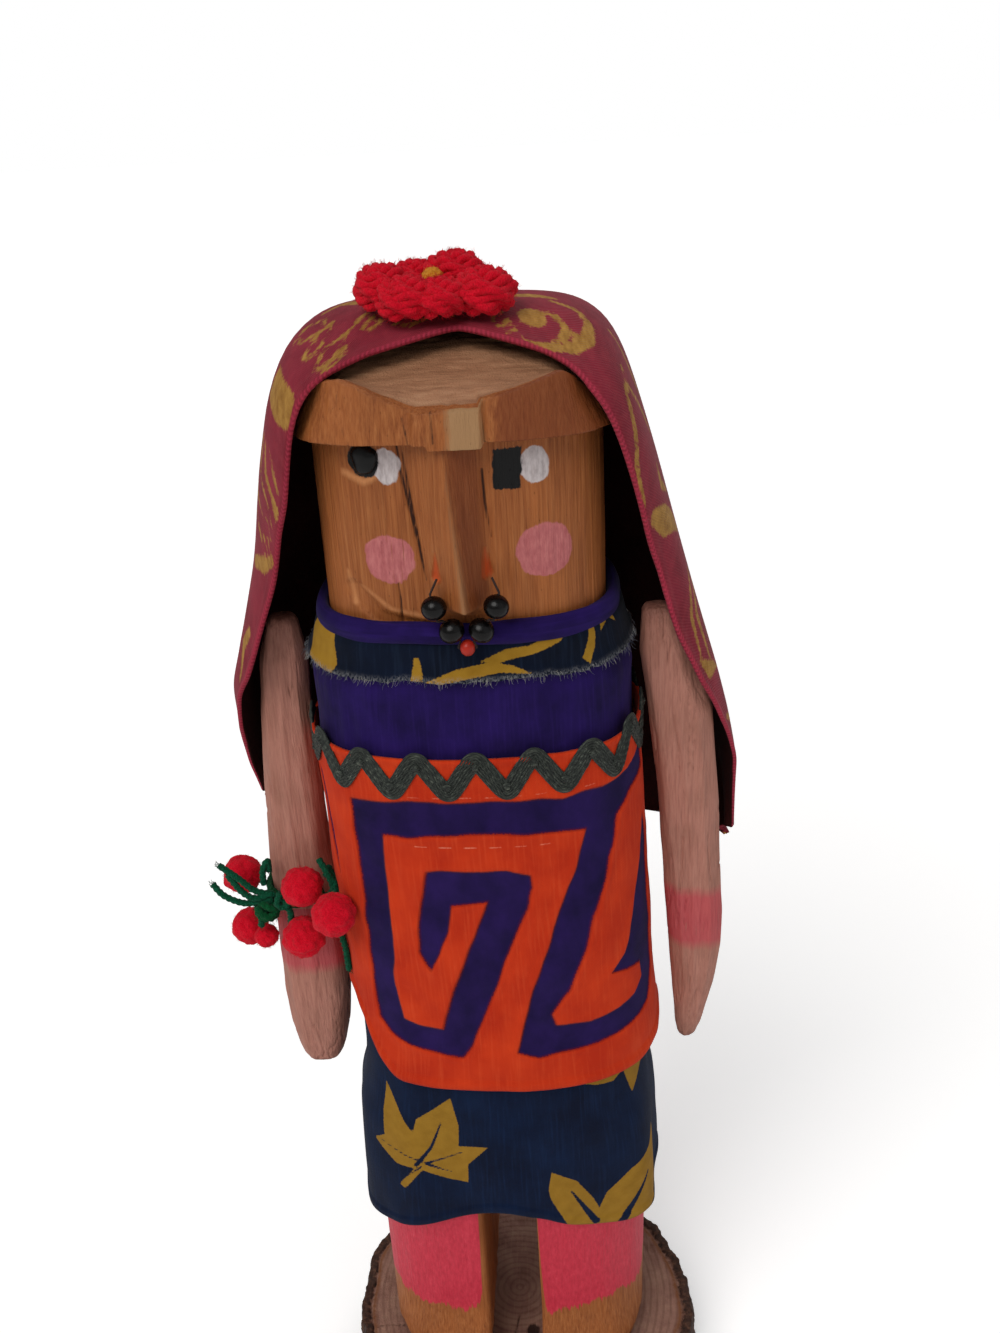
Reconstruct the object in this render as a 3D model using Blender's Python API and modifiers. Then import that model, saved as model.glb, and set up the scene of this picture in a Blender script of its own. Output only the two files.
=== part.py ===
"""A carved wooden folk doll in sewn cloth, standing on a slice of a branch.

Metres, +Z up. The doll faces -Y. The origin is on the underside of the slice,
on the doll's own upright axis. Heights named ..._UP are above the slice's top.
"""

import math

import bmesh
import bpy
import numpy as np
from mathutils import Vector

# Slice of branch that the doll stands on
SLICE_RADIUS = 0.0494
SLICE_SIDE = 0.0014
SLICE_THICKNESS = 0.018
SLICE_FORWARD = 0.004
BARK_THICKNESS = 0.0022
BARK_LUMP = 0.0011

# Carved log: heights above the slice
SHOULDER_UP = 0.200
NECKLINE_UP = 0.232
NOSE_TIP_UP = 0.2385
BRIM_UP = 0.2725
BRIM_HEIGHT = 0.0088
CROWN_RISE = 0.0085

# Carved log: half widths and half depths
BODY_HALF_WIDTH = 0.0358
BODY_HALF_DEPTH = 0.0255
FACE_HALF_WIDTH = 0.0308
FACE_HALF_DEPTH = 0.0240
BRIM_HALF_WIDTH = 0.0342
BRIM_HALF_DEPTH = 0.0287
NOSE_HEIGHT = 0.0085
NOSE_HALF_WIDTH = 0.0090
SHOULDER_SWAY = -0.0017
HEAD_SWAY = -0.0018
HIP_SWAY = 0.0004
NECK_BODY_SHARE = 0.85
PARED_HALF_WIDTH = 0.0130
PARED_DEPTH = 0.0045
CROWN_DOMES = (0.0, 0.0006, 0.0010)

# Legs
LEG_GAP = 0.0146
LEG_GAP_UP = 0.080
TOE_REACH = 0.0045
TOE_UP = 0.012

# Arms: reach up from the slice and half widths
ARM_TOP_UP = 0.2265
RIGHT_HAND_UP = 0.0950
LEFT_HAND_UP = 0.1012
RIGHT_ARM_HALF_WIDTH = 0.0090
LEFT_ARM_HALF_WIDTH = 0.0080
ARM_DEPTH_SHARE = 0.84

# Cloth
CLOTH = 0.0009
CLOTH_CLEARANCE = 0.0005
SKIRT_HEM_UP = 0.0600
SKIRT_TOP_UP = 0.1180
SKIRT_EASE = 0.0004
SKIRT_FLARE = 0.0030
SKIRT_LEAN = -0.0012
SKIRT_WAVE = 0.0022
MOLA_HEM_UP = 0.1090
MOLA_TOP_UP = 0.2020
MOLA_FLARE = 0.0016
BLOUSE_HEM_UP = 0.1900
COLLAR_UP = 0.2200
BINDING_RADIUS = 0.0013
BINDING_EASE = 0.0004
RICKRACK_PERIOD = 0.0134
RICKRACK_HEIGHT = 0.0112
RICKRACK_STRAP = 0.0048
RICKRACK_CENTRE_UP = 0.1962
BRAID_THICKNESS = 0.0007

# Headscarf: a fan of arches swung over the head from one lower corner to the other
SCARF_THICKNESS = 0.0010
SCARF_CENTRE_BACK = 0.005
SCARF_CORNER_UP = 0.167
SCARF_HALF_WIDTH = 0.0605
SCARF_HALF_DEPTH = 0.0325
SCARF_SHIFT = 0.0038
SCARF_LIFT = 0.0050
SCARF_CORNER_TRIM = math.radians(3.0)
SCARF_BACK_HEM = math.radians(112.0)
SCARF_TILT = math.radians(6.5)
SCARF_FAN_POWER = 1.25

# Crochet flower
FLOWER_RADIUS = 0.0170
FLOWER_HEIGHT = 0.0100
FLOWER_SIDE = -0.005
FLOWER_BACK = -0.001
FLOWER_CENTRE_RADIUS = 0.0022
PETALS = 5

# Beads that hang from the nose
BEAD_RADIUS = 0.0027
TIP_BEAD_RADIUS = 0.0017
BEAD_BORE = 0.0006
THREAD_RADIUS = 0.00028
BEAD_FORWARD = 0.0062

# Yarn bracelet with pompoms on the right arm
BRACELET_UP = 0.1520
YARN_RADIUS = 0.0010
POMPOM_RADIUS = 0.0046
KNOT_RADIUS = 0.0038
KNOT_TURN = 240.0
YARN_TUCK = 50.0

GAP = 0.0003
AROUND = 48
RIM_POINTS = 60

WOOD = ("wood", (0.31, 0.125, 0.046), 0.6)
BARK_WOOD = ("slice_wood", (0.17, 0.086, 0.062), 0.8)
PINK_PAINT = ("arm_paint", (0.34, 0.14, 0.105), 0.55)
NAVY_CLOTH = ("leaf_cotton", (0.004, 0.014, 0.035), 0.85)
INDIGO_CLOTH = ("indigo_cotton", (0.018, 0.006, 0.07), 0.85)
ORANGE_CLOTH = ("orange_cotton", (0.55, 0.035, 0.01), 0.85)
PRINT_CLOTH = ("collar_cotton", (0.006, 0.014, 0.035), 0.85)
TRIM_GREY = ("rickrack_braid", (0.045, 0.052, 0.048), 0.8)
SCARF_CLOTH = ("scarf_cotton", (0.28, 0.022, 0.045), 0.85)
RED_YARN = ("red_yarn", (0.64, 0.006, 0.025), 0.95)
YELLOW_YARN = ("yellow_yarn", (0.75, 0.30, 0.02), 0.95)
GREEN_YARN = ("green_yarn", (0.002, 0.085, 0.022), 0.95)
BEAD_GLASS = ("dark_bead", (0.008, 0.006, 0.006), 0.12)
BEAD_RED = ("red_bead", (0.50, 0.02, 0.01), 0.2)
THREAD_DARK = ("thread", (0.03, 0.015, 0.012), 0.8)


def material(look):
    """Returns the Principled material of a look: its name, colour and roughness."""
    name, colour, roughness = look
    found = bpy.data.materials.get(name)
    if found:
        return found
    made = bpy.data.materials.new(name)
    made.use_nodes = True
    shader = made.node_tree.nodes["Principled BSDF"]
    shader.inputs["Base Color"].default_value = (*colour, 1.0)
    shader.inputs["Roughness"].default_value = roughness
    return made


def add_object(name, mesh, look, smooth_angle=35.0):
    """Puts a mesh into the doll's collection as a named piece."""
    piece = bpy.data.objects.new(name, mesh)
    bpy.data.collections["folk_doll"].objects.link(piece)
    mesh.materials.append(material(look))
    mesh.shade_smooth()
    mesh.set_sharp_from_angle(angle=math.radians(smooth_angle))
    return piece


def grid_faces(rows, columns, closed):
    """Faces of a grid of points kept row by row; a closed grid joins each row's ends."""
    row, column = np.meshgrid(np.arange(rows - 1), np.arange(columns - (not closed)), indexing="ij")
    here = row * columns + column
    beside = row * columns + (column + 1) % columns
    faces = np.stack([here, beside, beside + columns, here + columns], axis=-1)
    return faces.reshape(-1, 4).tolist()


def mesh_of(name, points, faces):
    """Makes a mesh of points and faces."""
    mesh = bpy.data.meshes.new(name)
    mesh.from_pydata(np.asarray(points).reshape(-1, 3).tolist(), [], faces)
    mesh.update()
    return mesh


def loft(name, rings, look, smooth_angle=35.0):
    """Joins rings, lowest first and each running anticlockwise, and caps both ends."""
    rings = np.asarray(rings)
    rows, columns = rings.shape[:2]
    faces = grid_faces(rows, columns, closed=True)
    faces.append(list(range(columns))[::-1])
    faces.append([(rows - 1) * columns + index for index in range(columns)])
    return add_object(name, mesh_of(name, rings, faces), look, smooth_angle)


def thicken(piece, thickness, outwards=True):
    """Gives an open surface its wall, on its outer side or to both sides."""
    wall = piece.modifiers.new("wall", "SOLIDIFY")
    wall.thickness = thickness
    wall.offset = 1.0 if outwards else 0.0
    wall.use_quality_normals = True
    return piece


def turned(name, outline, steps, look):
    """Turns a closed outline of (radius, height) points about Z; its outer side runs down."""
    count = len(outline)
    points = [(radius, 0.0, height) for radius, height in outline]
    mesh = bpy.data.meshes.new(name)
    mesh.from_pydata(points, [(index, (index + 1) % count) for index in range(count)], [])
    piece = add_object(name, mesh, look)
    screw = piece.modifiers.new("turn", "SCREW")
    screw.steps = steps
    screw.render_steps = steps
    screw.use_merge_vertices = True
    screw.merge_threshold = 0.00001
    screw.use_smooth_shade = True
    return piece


def yarn(name, route, radius, look, closed=False):
    """Makes a six-sided round strand along a route."""
    curve = bpy.data.curves.new(name, "CURVE")
    curve.dimensions = "3D"
    curve.bevel_depth = radius
    curve.bevel_resolution = 1
    curve.use_fill_caps = not closed
    spline = curve.splines.new("POLY")
    spline.points.add(len(route) - 1)
    spline.points.foreach_set("co", np.hstack([route, np.ones((len(route), 1))]).ravel())
    spline.use_cyclic_u = closed
    piece = bpy.data.objects.new(name, curve)
    bpy.data.collections["folk_doll"].objects.link(piece)
    curve.materials.append(material(look))
    return piece


def fade(value, start, end):
    """Rises smoothly from 0 at start to 1 at end."""
    part = np.clip((value - start) / (end - start), 0.0, 1.0)
    return part * part * (3.0 - 2.0 * part)


def directions():
    """Unit directions round the upright axis, anticlockwise from +X."""
    turn = np.arange(AROUND) * 2.0 * np.pi / AROUND
    return np.cos(turn), np.sin(turn)


def squircle(half_width, front, back, power):
    """A rounded ring: |x/a|^n + |y/b|^n = 1, read along the shared directions."""
    across, along = directions()
    half_depth = np.where(along < 0.0, front, back)
    reach = (np.abs(across / half_width) ** power + np.abs(along / half_depth) ** power) ** (-1 / power)
    return reach * across, reach * along


def log_stations():
    """Rings of the torso, from the feet to the neck: height, half width, half depth, power, sway."""
    wide, deep = BODY_HALF_WIDTH, BODY_HALF_DEPTH
    neck_wide = FACE_HALF_WIDTH
    slope_middle = 0.5 * (NECKLINE_UP + SHOULDER_UP)
    between = NECK_BODY_SHARE * wide + (1.0 - NECK_BODY_SHARE) * neck_wide
    return (
        (0.0, 1.02 * wide, 0.98 * deep, 3.0, HIP_SWAY),
        (TOE_UP, 1.03 * wide, 0.96 * deep, 3.0, HIP_SWAY),
        (0.17 * SHOULDER_UP, 1.04 * wide, 0.96 * deep, 2.9, HIP_SWAY),
        (0.45 * SHOULDER_UP, 1.03 * wide, 0.99 * deep, 2.6, HIP_SWAY),
        (0.62 * SHOULDER_UP, 1.01 * wide, 1.0 * deep, 2.5, HIP_SWAY),
        (0.84 * SHOULDER_UP, 1.0 * wide, 1.0 * deep, 2.5, 0.4 * SHOULDER_SWAY),
        (SHOULDER_UP, 0.985 * wide, 0.99 * deep, 2.5, SHOULDER_SWAY),
        (slope_middle, between, 0.975 * deep, 2.5, SHOULDER_SWAY),
        (NECKLINE_UP, neck_wide, FACE_HALF_DEPTH, 2.7, HEAD_SWAY),
    )


def log_ring(up, grow=0.0):
    """The torso's ring at a height above the slice, grown outwards; straight between stations."""
    heights, widths, depths, powers, sways = np.array(log_stations()).T
    width = np.interp(up, heights, widths) + grow
    depth = np.interp(up, heights, depths) + grow
    x, y = squircle(width, depth, depth, np.interp(up, heights, powers))
    sway = np.interp(up, heights, sways)
    return np.stack([x + sway, y, np.full(AROUND, SLICE_THICKNESS + up)], axis=1)


def levels(bottom, top):
    """Heights from bottom to top that also take in each of the log's stations between."""
    inside = [station[0] for station in log_stations() if bottom + 0.002 < station[0] < top - 0.002]
    return [bottom, *inside, top]


def nose_height(up):
    """How far the nose's ridge stands out of the face at a height."""
    heights = (NECKLINE_UP, NOSE_TIP_UP - 0.003, NOSE_TIP_UP, BRIM_UP)
    return np.interp(up, heights, (0.0, 0.12 * NOSE_HEIGHT, NOSE_HEIGHT, 0.55 * NOSE_HEIGHT))


def face_ring(up, half_width, half_depth):
    """A ring of the head with the wedge of the nose drawn out of its front."""
    x, y = squircle(half_width, half_depth, half_depth, 2.8)
    x = x + HEAD_SWAY
    wedge = np.clip(1.0 - np.abs(x) / NOSE_HALF_WIDTH, 0.0, 1.0) * (y < 0.0)
    return np.stack([x, y - nose_height(up) * wedge, np.full(AROUND, SLICE_THICKNESS + up)], axis=1)


def head_top(y):
    """Height above the slice of the sloping top of the head: low in front, high behind."""
    rise = fade(y, -BRIM_HALF_DEPTH, 0.3 * BRIM_HALF_DEPTH)
    return BRIM_UP + BRIM_HEIGHT + CROWN_RISE * rise


def brim_rings():
    """The block over the brow and the top of the head, whose front middle is pared down."""
    rings = []
    x, y = squircle(BRIM_HALF_WIDTH, BRIM_HALF_DEPTH, 0.86 * BRIM_HALF_DEPTH, 3.2)
    for lift in (0.0, 0.18 * BRIM_HEIGHT):
        up = np.full(AROUND, BRIM_UP + lift)
        rings.append(np.stack([x + HEAD_SWAY, y, SLICE_THICKNESS + up], axis=1))
    for share, dome in zip((1.0, 0.70, 0.32), CROWN_DOMES):
        wide, deep = 0.83 * share * BRIM_HALF_WIDTH, 0.92 * share * BRIM_HALF_DEPTH
        x, y = squircle(wide, deep, 0.84 * deep, 3.0)
        pared = np.clip(1.0 - np.abs(x) / PARED_HALF_WIDTH, 0.0, 1.0) * (y < 0.0) * (share > 0.9)
        top = head_top(y) + dome - PARED_DEPTH * pared
        rings.append(np.stack([x + HEAD_SWAY, y, SLICE_THICKNESS + top], axis=1))
    return rings


def make_slice():
    """A disc sawn off a branch: a lumpy rim of bark round flat faces."""
    turn = np.arange(RIM_POINTS) * 2.0 * np.pi / RIM_POINTS
    lumps = np.sin(5 * turn + 0.6) + 0.7 * np.sin(11 * turn + 2.1) + 0.5 * np.sin(17 * turn + 4.0)
    rim = SLICE_RADIUS + 0.55 * BARK_LUMP * lumps + 0.8 * BARK_LUMP * np.cos(2 * turn + 1.0)
    rings = []
    for share, inset in ((0.0, 0.6), (0.12, 0.1), (0.5, 0.0), (0.86, 0.15), (1.0, 0.75)):
        furrow = 0.5 * BARK_LUMP * np.sin(23 * turn + 5.0 * share) * (0.0 < share < 1.0)
        reach = rim - inset * BARK_THICKNESS * 0.6 + furrow
        x, y = SLICE_SIDE + reach * np.cos(turn), reach * np.sin(turn) - SLICE_FORWARD
        rings.append(np.stack([x, y, np.full(RIM_POINTS, share * SLICE_THICKNESS)], axis=1))
    loft("wood_slice_base", rings, BARK_WOOD, 50.0)


def make_body():
    """One piece of wood: legs, torso, face with its wedge of a nose, brow block and crown."""
    rings = [log_ring(station[0]) for station in log_stations()]
    for ring, station in zip(rings, log_stations()):
        toe = TOE_REACH * (1.0 - fade(station[0], 0.3 * TOE_UP, 2.0 * TOE_UP))
        ring[:, 1] -= toe * np.clip(-ring[:, 1] / BODY_HALF_DEPTH, 0.0, 1.0)
    rings[0][:, 2] += GAP
    for up in (NOSE_TIP_UP - 0.003, NOSE_TIP_UP, 0.5 * (NOSE_TIP_UP + BRIM_UP), BRIM_UP - 0.0006):
        rings.append(face_ring(up, FACE_HALF_WIDTH, FACE_HALF_DEPTH))
    rings += brim_rings()
    body = loft("carved_body", rings, WOOD, 28.0)
    slot_mesh = bpy.data.meshes.new("leg_slot")
    slot = bmesh.new()
    bmesh.ops.create_cube(slot, size=1.0)
    bmesh.ops.scale(slot, vec=(LEG_GAP, 4.0 * BODY_HALF_DEPTH, 2.0 * LEG_GAP_UP), verts=slot.verts)
    upper = [edge for edge in slot.edges if all(vert.co.z > 0 for vert in edge.verts)]
    crotch = [edge for edge in upper if abs(edge.verts[0].co.x - edge.verts[1].co.x) < 1e-6]
    bmesh.ops.bevel(slot, geom=crotch, offset=0.3 * LEG_GAP, segments=3, profile=0.5, affect="EDGES")
    slot.to_mesh(slot_mesh)
    slot.free()
    cutter = bpy.data.objects.new("leg_slot", slot_mesh)
    cutter.location = (0.0005, 0.0, SLICE_THICKNESS)
    bpy.data.collections["cutters"].objects.link(cutter)
    cutter.hide_render = True
    cutter.display_type = "WIRE"
    cut = body.modifiers.new("leg_gap", "BOOLEAN")
    cut.operation = "DIFFERENCE"
    cut.object = cutter
    cut.solver = "EXACT"


def shirt_side(up):
    """Sides of the dressed torso at a height: wood, blouse, mola and braid."""
    ring = log_ring(up, 2.0 * (CLOTH_CLEARANCE + CLOTH) + 2.0 * GAP + BRAID_THICKNESS)
    return ring[:, 0].min(), ring[:, 0].max()


ARM_SHAPES = {
    "arm_right": {
        "side": -1.0,
        "hand": RIGHT_HAND_UP,
        "half_width": RIGHT_ARM_HALF_WIDTH,
        "girth": ((0.0, 0.56), (0.04, 0.71), (0.10, 0.87), (0.19, 0.98), (0.28, 1.0), (0.42, 0.93),
                  (0.55, 0.86), (0.66, 0.81), (0.82, 0.70), (0.92, 0.65), (1.0, 0.38)),
        "lean": ((0.0, 0.0023), (0.27, 0.0008), (0.50, 0.0011), (0.70, 0.0), (0.85, -0.0006),
                 (1.0, -0.0022)),
    },
    "arm_left": {
        "side": 1.0,
        "hand": LEFT_HAND_UP,
        "half_width": LEFT_ARM_HALF_WIDTH,
        "girth": ((0.0, 0.26), (0.04, 0.44), (0.15, 0.68), (0.25, 0.83), (0.34, 0.90), (0.48, 0.91),
                  (0.62, 0.95), (0.80, 0.98), (0.92, 0.82), (1.0, 0.50)),
        "lean": ((0.0, 0.0032), (0.15, 0.0048), (0.27, 0.0052), (0.45, 0.0038), (0.62, 0.0022),
                 (0.74, 0.0003), (0.81, 0.0), (0.90, -0.0028), (1.0, -0.0048)),
    },
}
ARM_SIDES = 16


def arm_line(name, share):
    """Centre line of an arm and its half width at a share of its length, hand first."""
    shape = ARM_SHAPES[name]
    shares, girths = np.array(shape["girth"]).T
    half = shape["half_width"] * np.interp(share, shares, girths)
    up = shape["hand"] + share * (ARM_TOP_UP - shape["hand"])
    lowest, highest = shirt_side(RICKRACK_CENTRE_UP)
    shoulder = -lowest if shape["side"] < 0 else highest
    braid_share = (RICKRACK_CENTRE_UP - shape["hand"]) / (ARM_TOP_UP - shape["hand"])
    rest = shoulder + GAP + shape["half_width"] * np.interp(braid_share, shares, girths)
    lean = np.interp(share, *np.array(shape["lean"]).T)
    return shape["side"] * (rest + lean), up, half


def make_arm(name):
    """A whittled stick that hangs beside the torso and narrows to its hand and shoulder."""
    turn = np.arange(ARM_SIDES) * 2.0 * np.pi / ARM_SIDES
    rings = []
    for share, _ in ARM_SHAPES[name]["girth"]:
        centre, up, half = arm_line(name, share)
        x = centre + half * np.cos(turn)
        y = ARM_DEPTH_SHARE * half * np.sin(turn)
        rings.append(np.stack([x, y, np.full(ARM_SIDES, SLICE_THICKNESS + up)], axis=1))
    loft(name, rings, PINK_PAINT, 40.0)


def cloth_tube(name, heights, grow, look, thickness=CLOTH, shape=None):
    """A tube of cloth round the log: rings grown from the wood, thickened outwards."""
    rings = []
    for index, up in enumerate(heights):
        ring = log_ring(up, grow)
        rings.append(shape(ring, index, len(heights)) if shape else ring)
    rings = np.array(rings)
    mesh = mesh_of(name, rings, grid_faces(len(rings), AROUND, closed=True))
    return thicken(add_object(name, mesh, look), thickness)


def make_skirt():
    """A wrapped skirt that flares to a wavy hem."""
    turn = np.arange(AROUND) * 2.0 * np.pi / AROUND

    def flared(ring, index, count):
        part = 1.0 - index / (count - 1.0)
        ring[:, :2] *= 1.0 + SKIRT_FLARE * part / BODY_HALF_WIDTH
        ring[:, 0] += SKIRT_LEAN * part
        wave = 0.6 * np.cos(3 * turn + 4.1) + 0.4 * np.cos(7 * turn + 1.0)
        ring[:, 2] += SKIRT_WAVE * wave * (index == 0)
        return ring

    middle = 0.5 * (SKIRT_HEM_UP + SKIRT_TOP_UP)
    heights = (SKIRT_HEM_UP, SKIRT_HEM_UP + 0.25 * (middle - SKIRT_HEM_UP), middle, SKIRT_TOP_UP)
    cloth_tube("skirt", heights, CLOTH_CLEARANCE + SKIRT_EASE, NAVY_CLOTH, shape=flared)


def make_blouse():
    """Indigo blouse, the mola sewn over its lower part, and the printed collar band."""
    yoke = levels(BLOUSE_HEM_UP, NECKLINE_UP - 2.6 * BINDING_RADIUS)
    cloth_tube("blouse", yoke, CLOTH_CLEARANCE, INDIGO_CLOTH)
    over = 2.0 * CLOTH_CLEARANCE + CLOTH

    def mola_flare(ring, index, count):
        """Lets the hem stand off over the skirt's top."""
        ring[:, :2] *= 1.0 + MOLA_FLARE / BODY_HALF_WIDTH * ((index == 0) + 0.27 * (index == 1))
        return ring

    cloth_tube("mola_panel", levels(MOLA_HEM_UP, MOLA_TOP_UP), over, ORANGE_CLOTH, shape=mola_flare)
    collar = levels(COLLAR_UP, NECKLINE_UP - 2.6 * BINDING_RADIUS)
    cloth_tube("collar_band", collar, over, PRINT_CLOTH, 0.6 * CLOTH)


def make_binding():
    """A rolled indigo binding round the neckline."""
    ring = log_ring(NECKLINE_UP - BINDING_RADIUS, BINDING_RADIUS + GAP + BINDING_EASE)
    yarn("neck_binding", ring, BINDING_RADIUS, INDIGO_CLOTH, closed=True)


def ring_length(points):
    """Distances along a closed ring of points, and its whole length."""
    steps = np.linalg.norm(np.roll(points, -1, axis=0) - points, axis=1)
    return np.concatenate([[0.0], np.cumsum(steps)])


def make_rickrack():
    """Zigzag braid on the mola's top band: a strap whose middle waves up and down."""
    grow = 2.0 * (CLOTH_CLEARANCE + CLOTH) + 2.0 * GAP
    lower = log_ring(RICKRACK_CENTRE_UP - 0.5 * RICKRACK_HEIGHT, grow)
    upper = log_ring(RICKRACK_CENTRE_UP + 0.5 * RICKRACK_HEIGHT, grow)
    along = ring_length(log_ring(RICKRACK_CENTRE_UP, grow))
    waves = round(along[-1] / RICKRACK_PERIOD)
    count = 6 * waves
    place = np.arange(count) / count
    station = np.interp(place * along[-1], along, np.arange(AROUND + 1))
    first = station.astype(int)
    part = (station - first)[:, None]
    swing = np.arcsin(0.92 * np.sin(2.0 * np.pi * waves * place)) / np.arcsin(0.92)
    half_swing = 0.5 * (RICKRACK_HEIGHT - RICKRACK_STRAP)
    rows = []
    for edge in (-0.5, 0.5):
        height = half_swing * swing + edge * RICKRACK_STRAP
        share = (height / RICKRACK_HEIGHT + 0.5)[:, None]
        low = lower[first % AROUND] * (1 - part) + lower[(first + 1) % AROUND] * part
        high = upper[first % AROUND] * (1 - part) + upper[(first + 1) % AROUND] * part
        rows.append(low * (1 - share) + high * share)
    mesh = mesh_of("rickrack_trim", np.array(rows), grid_faces(2, count, closed=True))
    thicken(add_object("rickrack_trim", mesh, TRIM_GREY), BRAID_THICKNESS)


def scarf_profile(up):
    """Half width, front and back half depths, side shift and power of the draped bell at a height."""
    top = BRIM_UP + BRIM_HEIGHT + CROWN_RISE + SCARF_LIFT
    drop = np.clip(top - up, 0.0, None)
    drops = (0.0, 0.0008, 0.0025, 0.0060, 0.0110, 0.0180, 0.0330, 0.0560, 0.0850, 0.1100, 0.1300, 0.17)
    widths = np.array((0.0, 0.35, 0.46, 0.55, 0.595, 0.63, 0.705, 0.80, 0.935, 0.98, 0.95, 0.86))
    fronts = np.array((0.0, 0.18, 0.34, 0.60, 1.0, 1.03, 1.0, 0.97, 0.97, 1.0, 1.0, 1.0))
    backs = np.array((0.0, 0.42, 0.68, 0.80, 0.86, 0.90, 0.92, 0.95, 0.99, 1.04, 1.10, 1.25))
    shifts = np.array((-0.4, -0.6, -0.7, -0.75, -0.7, -0.65, -0.65, -0.5, -0.6, 0.1, 0.65, 0.65))
    power = np.interp(drop, (0.018, 0.050), (4.0, 2.4))
    profiles = [np.interp(drop, drops, shares) for shares in (widths, fronts, backs, shifts)]
    sizes = (SCARF_HALF_WIDTH, SCARF_HALF_DEPTH, SCARF_HALF_DEPTH, SCARF_SHIFT)
    return [profile * size for profile, size in zip(profiles, sizes)] + [power]


def scarf_outside(x, y, up):
    """Above 0 outside the scarf's bell, below 0 inside it."""
    width, front, back, shift, power = scarf_profile(up)
    behind = y - SCARF_CENTRE_BACK
    depth = np.where(behind < 0.0, front, back)
    level = np.abs((x - shift) / (width + 1e-5)) ** power
    level += np.abs(behind / (depth + 1e-5)) ** power
    return level - 1.0


SCARF_EDGE = (
    (-90.0, 2.0), (-76.0, -6.0), (-60.0, -20.0), (-45.0, -21.5), (-34.0, -18.0), (-26.0, -16.0),
    (-20.0, -17.0), (-14.0, -15.0), (-8.0, -10.0), (0.0, -6.0), (8.0, -10.0), (13.0, -14.0),
    (28.0, -13.0), (37.0, -16.0), (48.0, -17.0), (60.0, -14.0), (76.0, -5.0), (90.0, 4.0),
)


def scarf_front(lean):
    """Angle of the front edge at a lean off upright: it reaches forward beside the face."""
    leans, angles = np.radians(SCARF_EDGE).T
    return np.interp(lean, leans, angles)


def scarf_points(rows, columns):
    """Where rays from the point between the lower corners leave the bell, arch by arch."""
    step = np.linspace(-1.0, 1.0, columns)
    lean = (0.5 * np.pi - SCARF_CORNER_TRIM) * np.sign(step) * np.abs(step) ** SCARF_FAN_POWER
    part = np.linspace(0.0, 1.0, rows)[:, None]
    swing = scarf_front(lean + SCARF_TILT) * (1 - part) + SCARF_BACK_HEM * part
    sideways, upright = np.sin(lean), np.cos(lean) * np.cos(swing)
    x = sideways * math.cos(SCARF_TILT) + upright * math.sin(SCARF_TILT)
    y = np.cos(lean) * np.sin(swing)
    z = upright * math.cos(SCARF_TILT) - sideways * math.sin(SCARF_TILT)
    near = np.zeros(swing.shape)
    far = np.full(swing.shape, 0.25)
    for _ in range(40):
        reach = 0.5 * (near + far)
        outside = scarf_outside(reach * x, SCARF_CENTRE_BACK + reach * y, SCARF_CORNER_UP + reach * z) > 0
        near, far = np.where(outside, near, reach), np.where(outside, reach, far)
    height = SLICE_THICKNESS + SCARF_CORNER_UP + far * z
    return np.stack([far * x, SCARF_CENTRE_BACK + far * y, height], axis=-1)


def make_scarf():
    """The scarf: arches of cloth swung from the front edge over the head and down the back."""
    rows, columns = 15, 37
    points = scarf_points(rows, columns)[:, ::-1]
    mesh = mesh_of("headscarf", points, grid_faces(rows, columns, closed=False))
    thicken(add_object("headscarf", mesh, SCARF_CLOTH, 60.0), SCARF_THICKNESS)


def scarf_top(x, y):
    """Height of the scarf's outer face over a point of the head."""
    low = np.full(np.shape(x), SCARF_CORNER_UP)
    high = np.full(np.shape(x), BRIM_UP + 0.1)
    for _ in range(40):
        middle = 0.5 * (low + high)
        outside = scarf_outside(x, y, middle) > 0
        low, high = np.where(outside, low, middle), np.where(outside, middle, high)
    return SLICE_THICKNESS + high + SCARF_THICKNESS


def make_flower():
    """A crochet flower: a lobed cushion of petals, dished in the middle, and a yellow centre."""
    count = 40
    turn = np.arange(count) * 2.0 * np.pi / count
    lobe = 0.80 + 0.20 * np.abs(np.cos(0.5 * PETALS * turn + 0.4))
    raised = 1.0 + 0.25 * np.cos(turn - 1.3)
    rings = []
    steps = ((0.80, 0.10), (0.97, 0.22), (1.0, 0.45), (0.86, 0.72), (0.60, 0.74), (0.24, 0.16))
    for share, rise in steps:
        x = FLOWER_SIDE + share * FLOWER_RADIUS * lobe * np.cos(turn)
        y = FLOWER_BACK + 0.72 * share * FLOWER_RADIUS * lobe * np.sin(turn)
        rings.append(np.stack([x, y, scarf_top(x, y) + rise * FLOWER_HEIGHT * raised], axis=1))
    under = rings[0].copy()
    under[:, 2] = scarf_top(under[:, 0], under[:, 1]) + 2.0 * GAP
    rings[0] = under
    loft("flower_petals", rings, RED_YARN, 60.0)
    seat = rings[-1][:, 2].max() + GAP
    ball = bmesh.new()
    bmesh.ops.create_uvsphere(ball, u_segments=14, v_segments=8, radius=FLOWER_CENTRE_RADIUS)
    mesh = bpy.data.meshes.new("flower_centre")
    ball.to_mesh(mesh)
    ball.free()
    centre = add_object("flower_centre", mesh, YELLOW_YARN)
    centre.location = (FLOWER_SIDE, FLOWER_BACK, seat + FLOWER_CENTRE_RADIUS)


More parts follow.
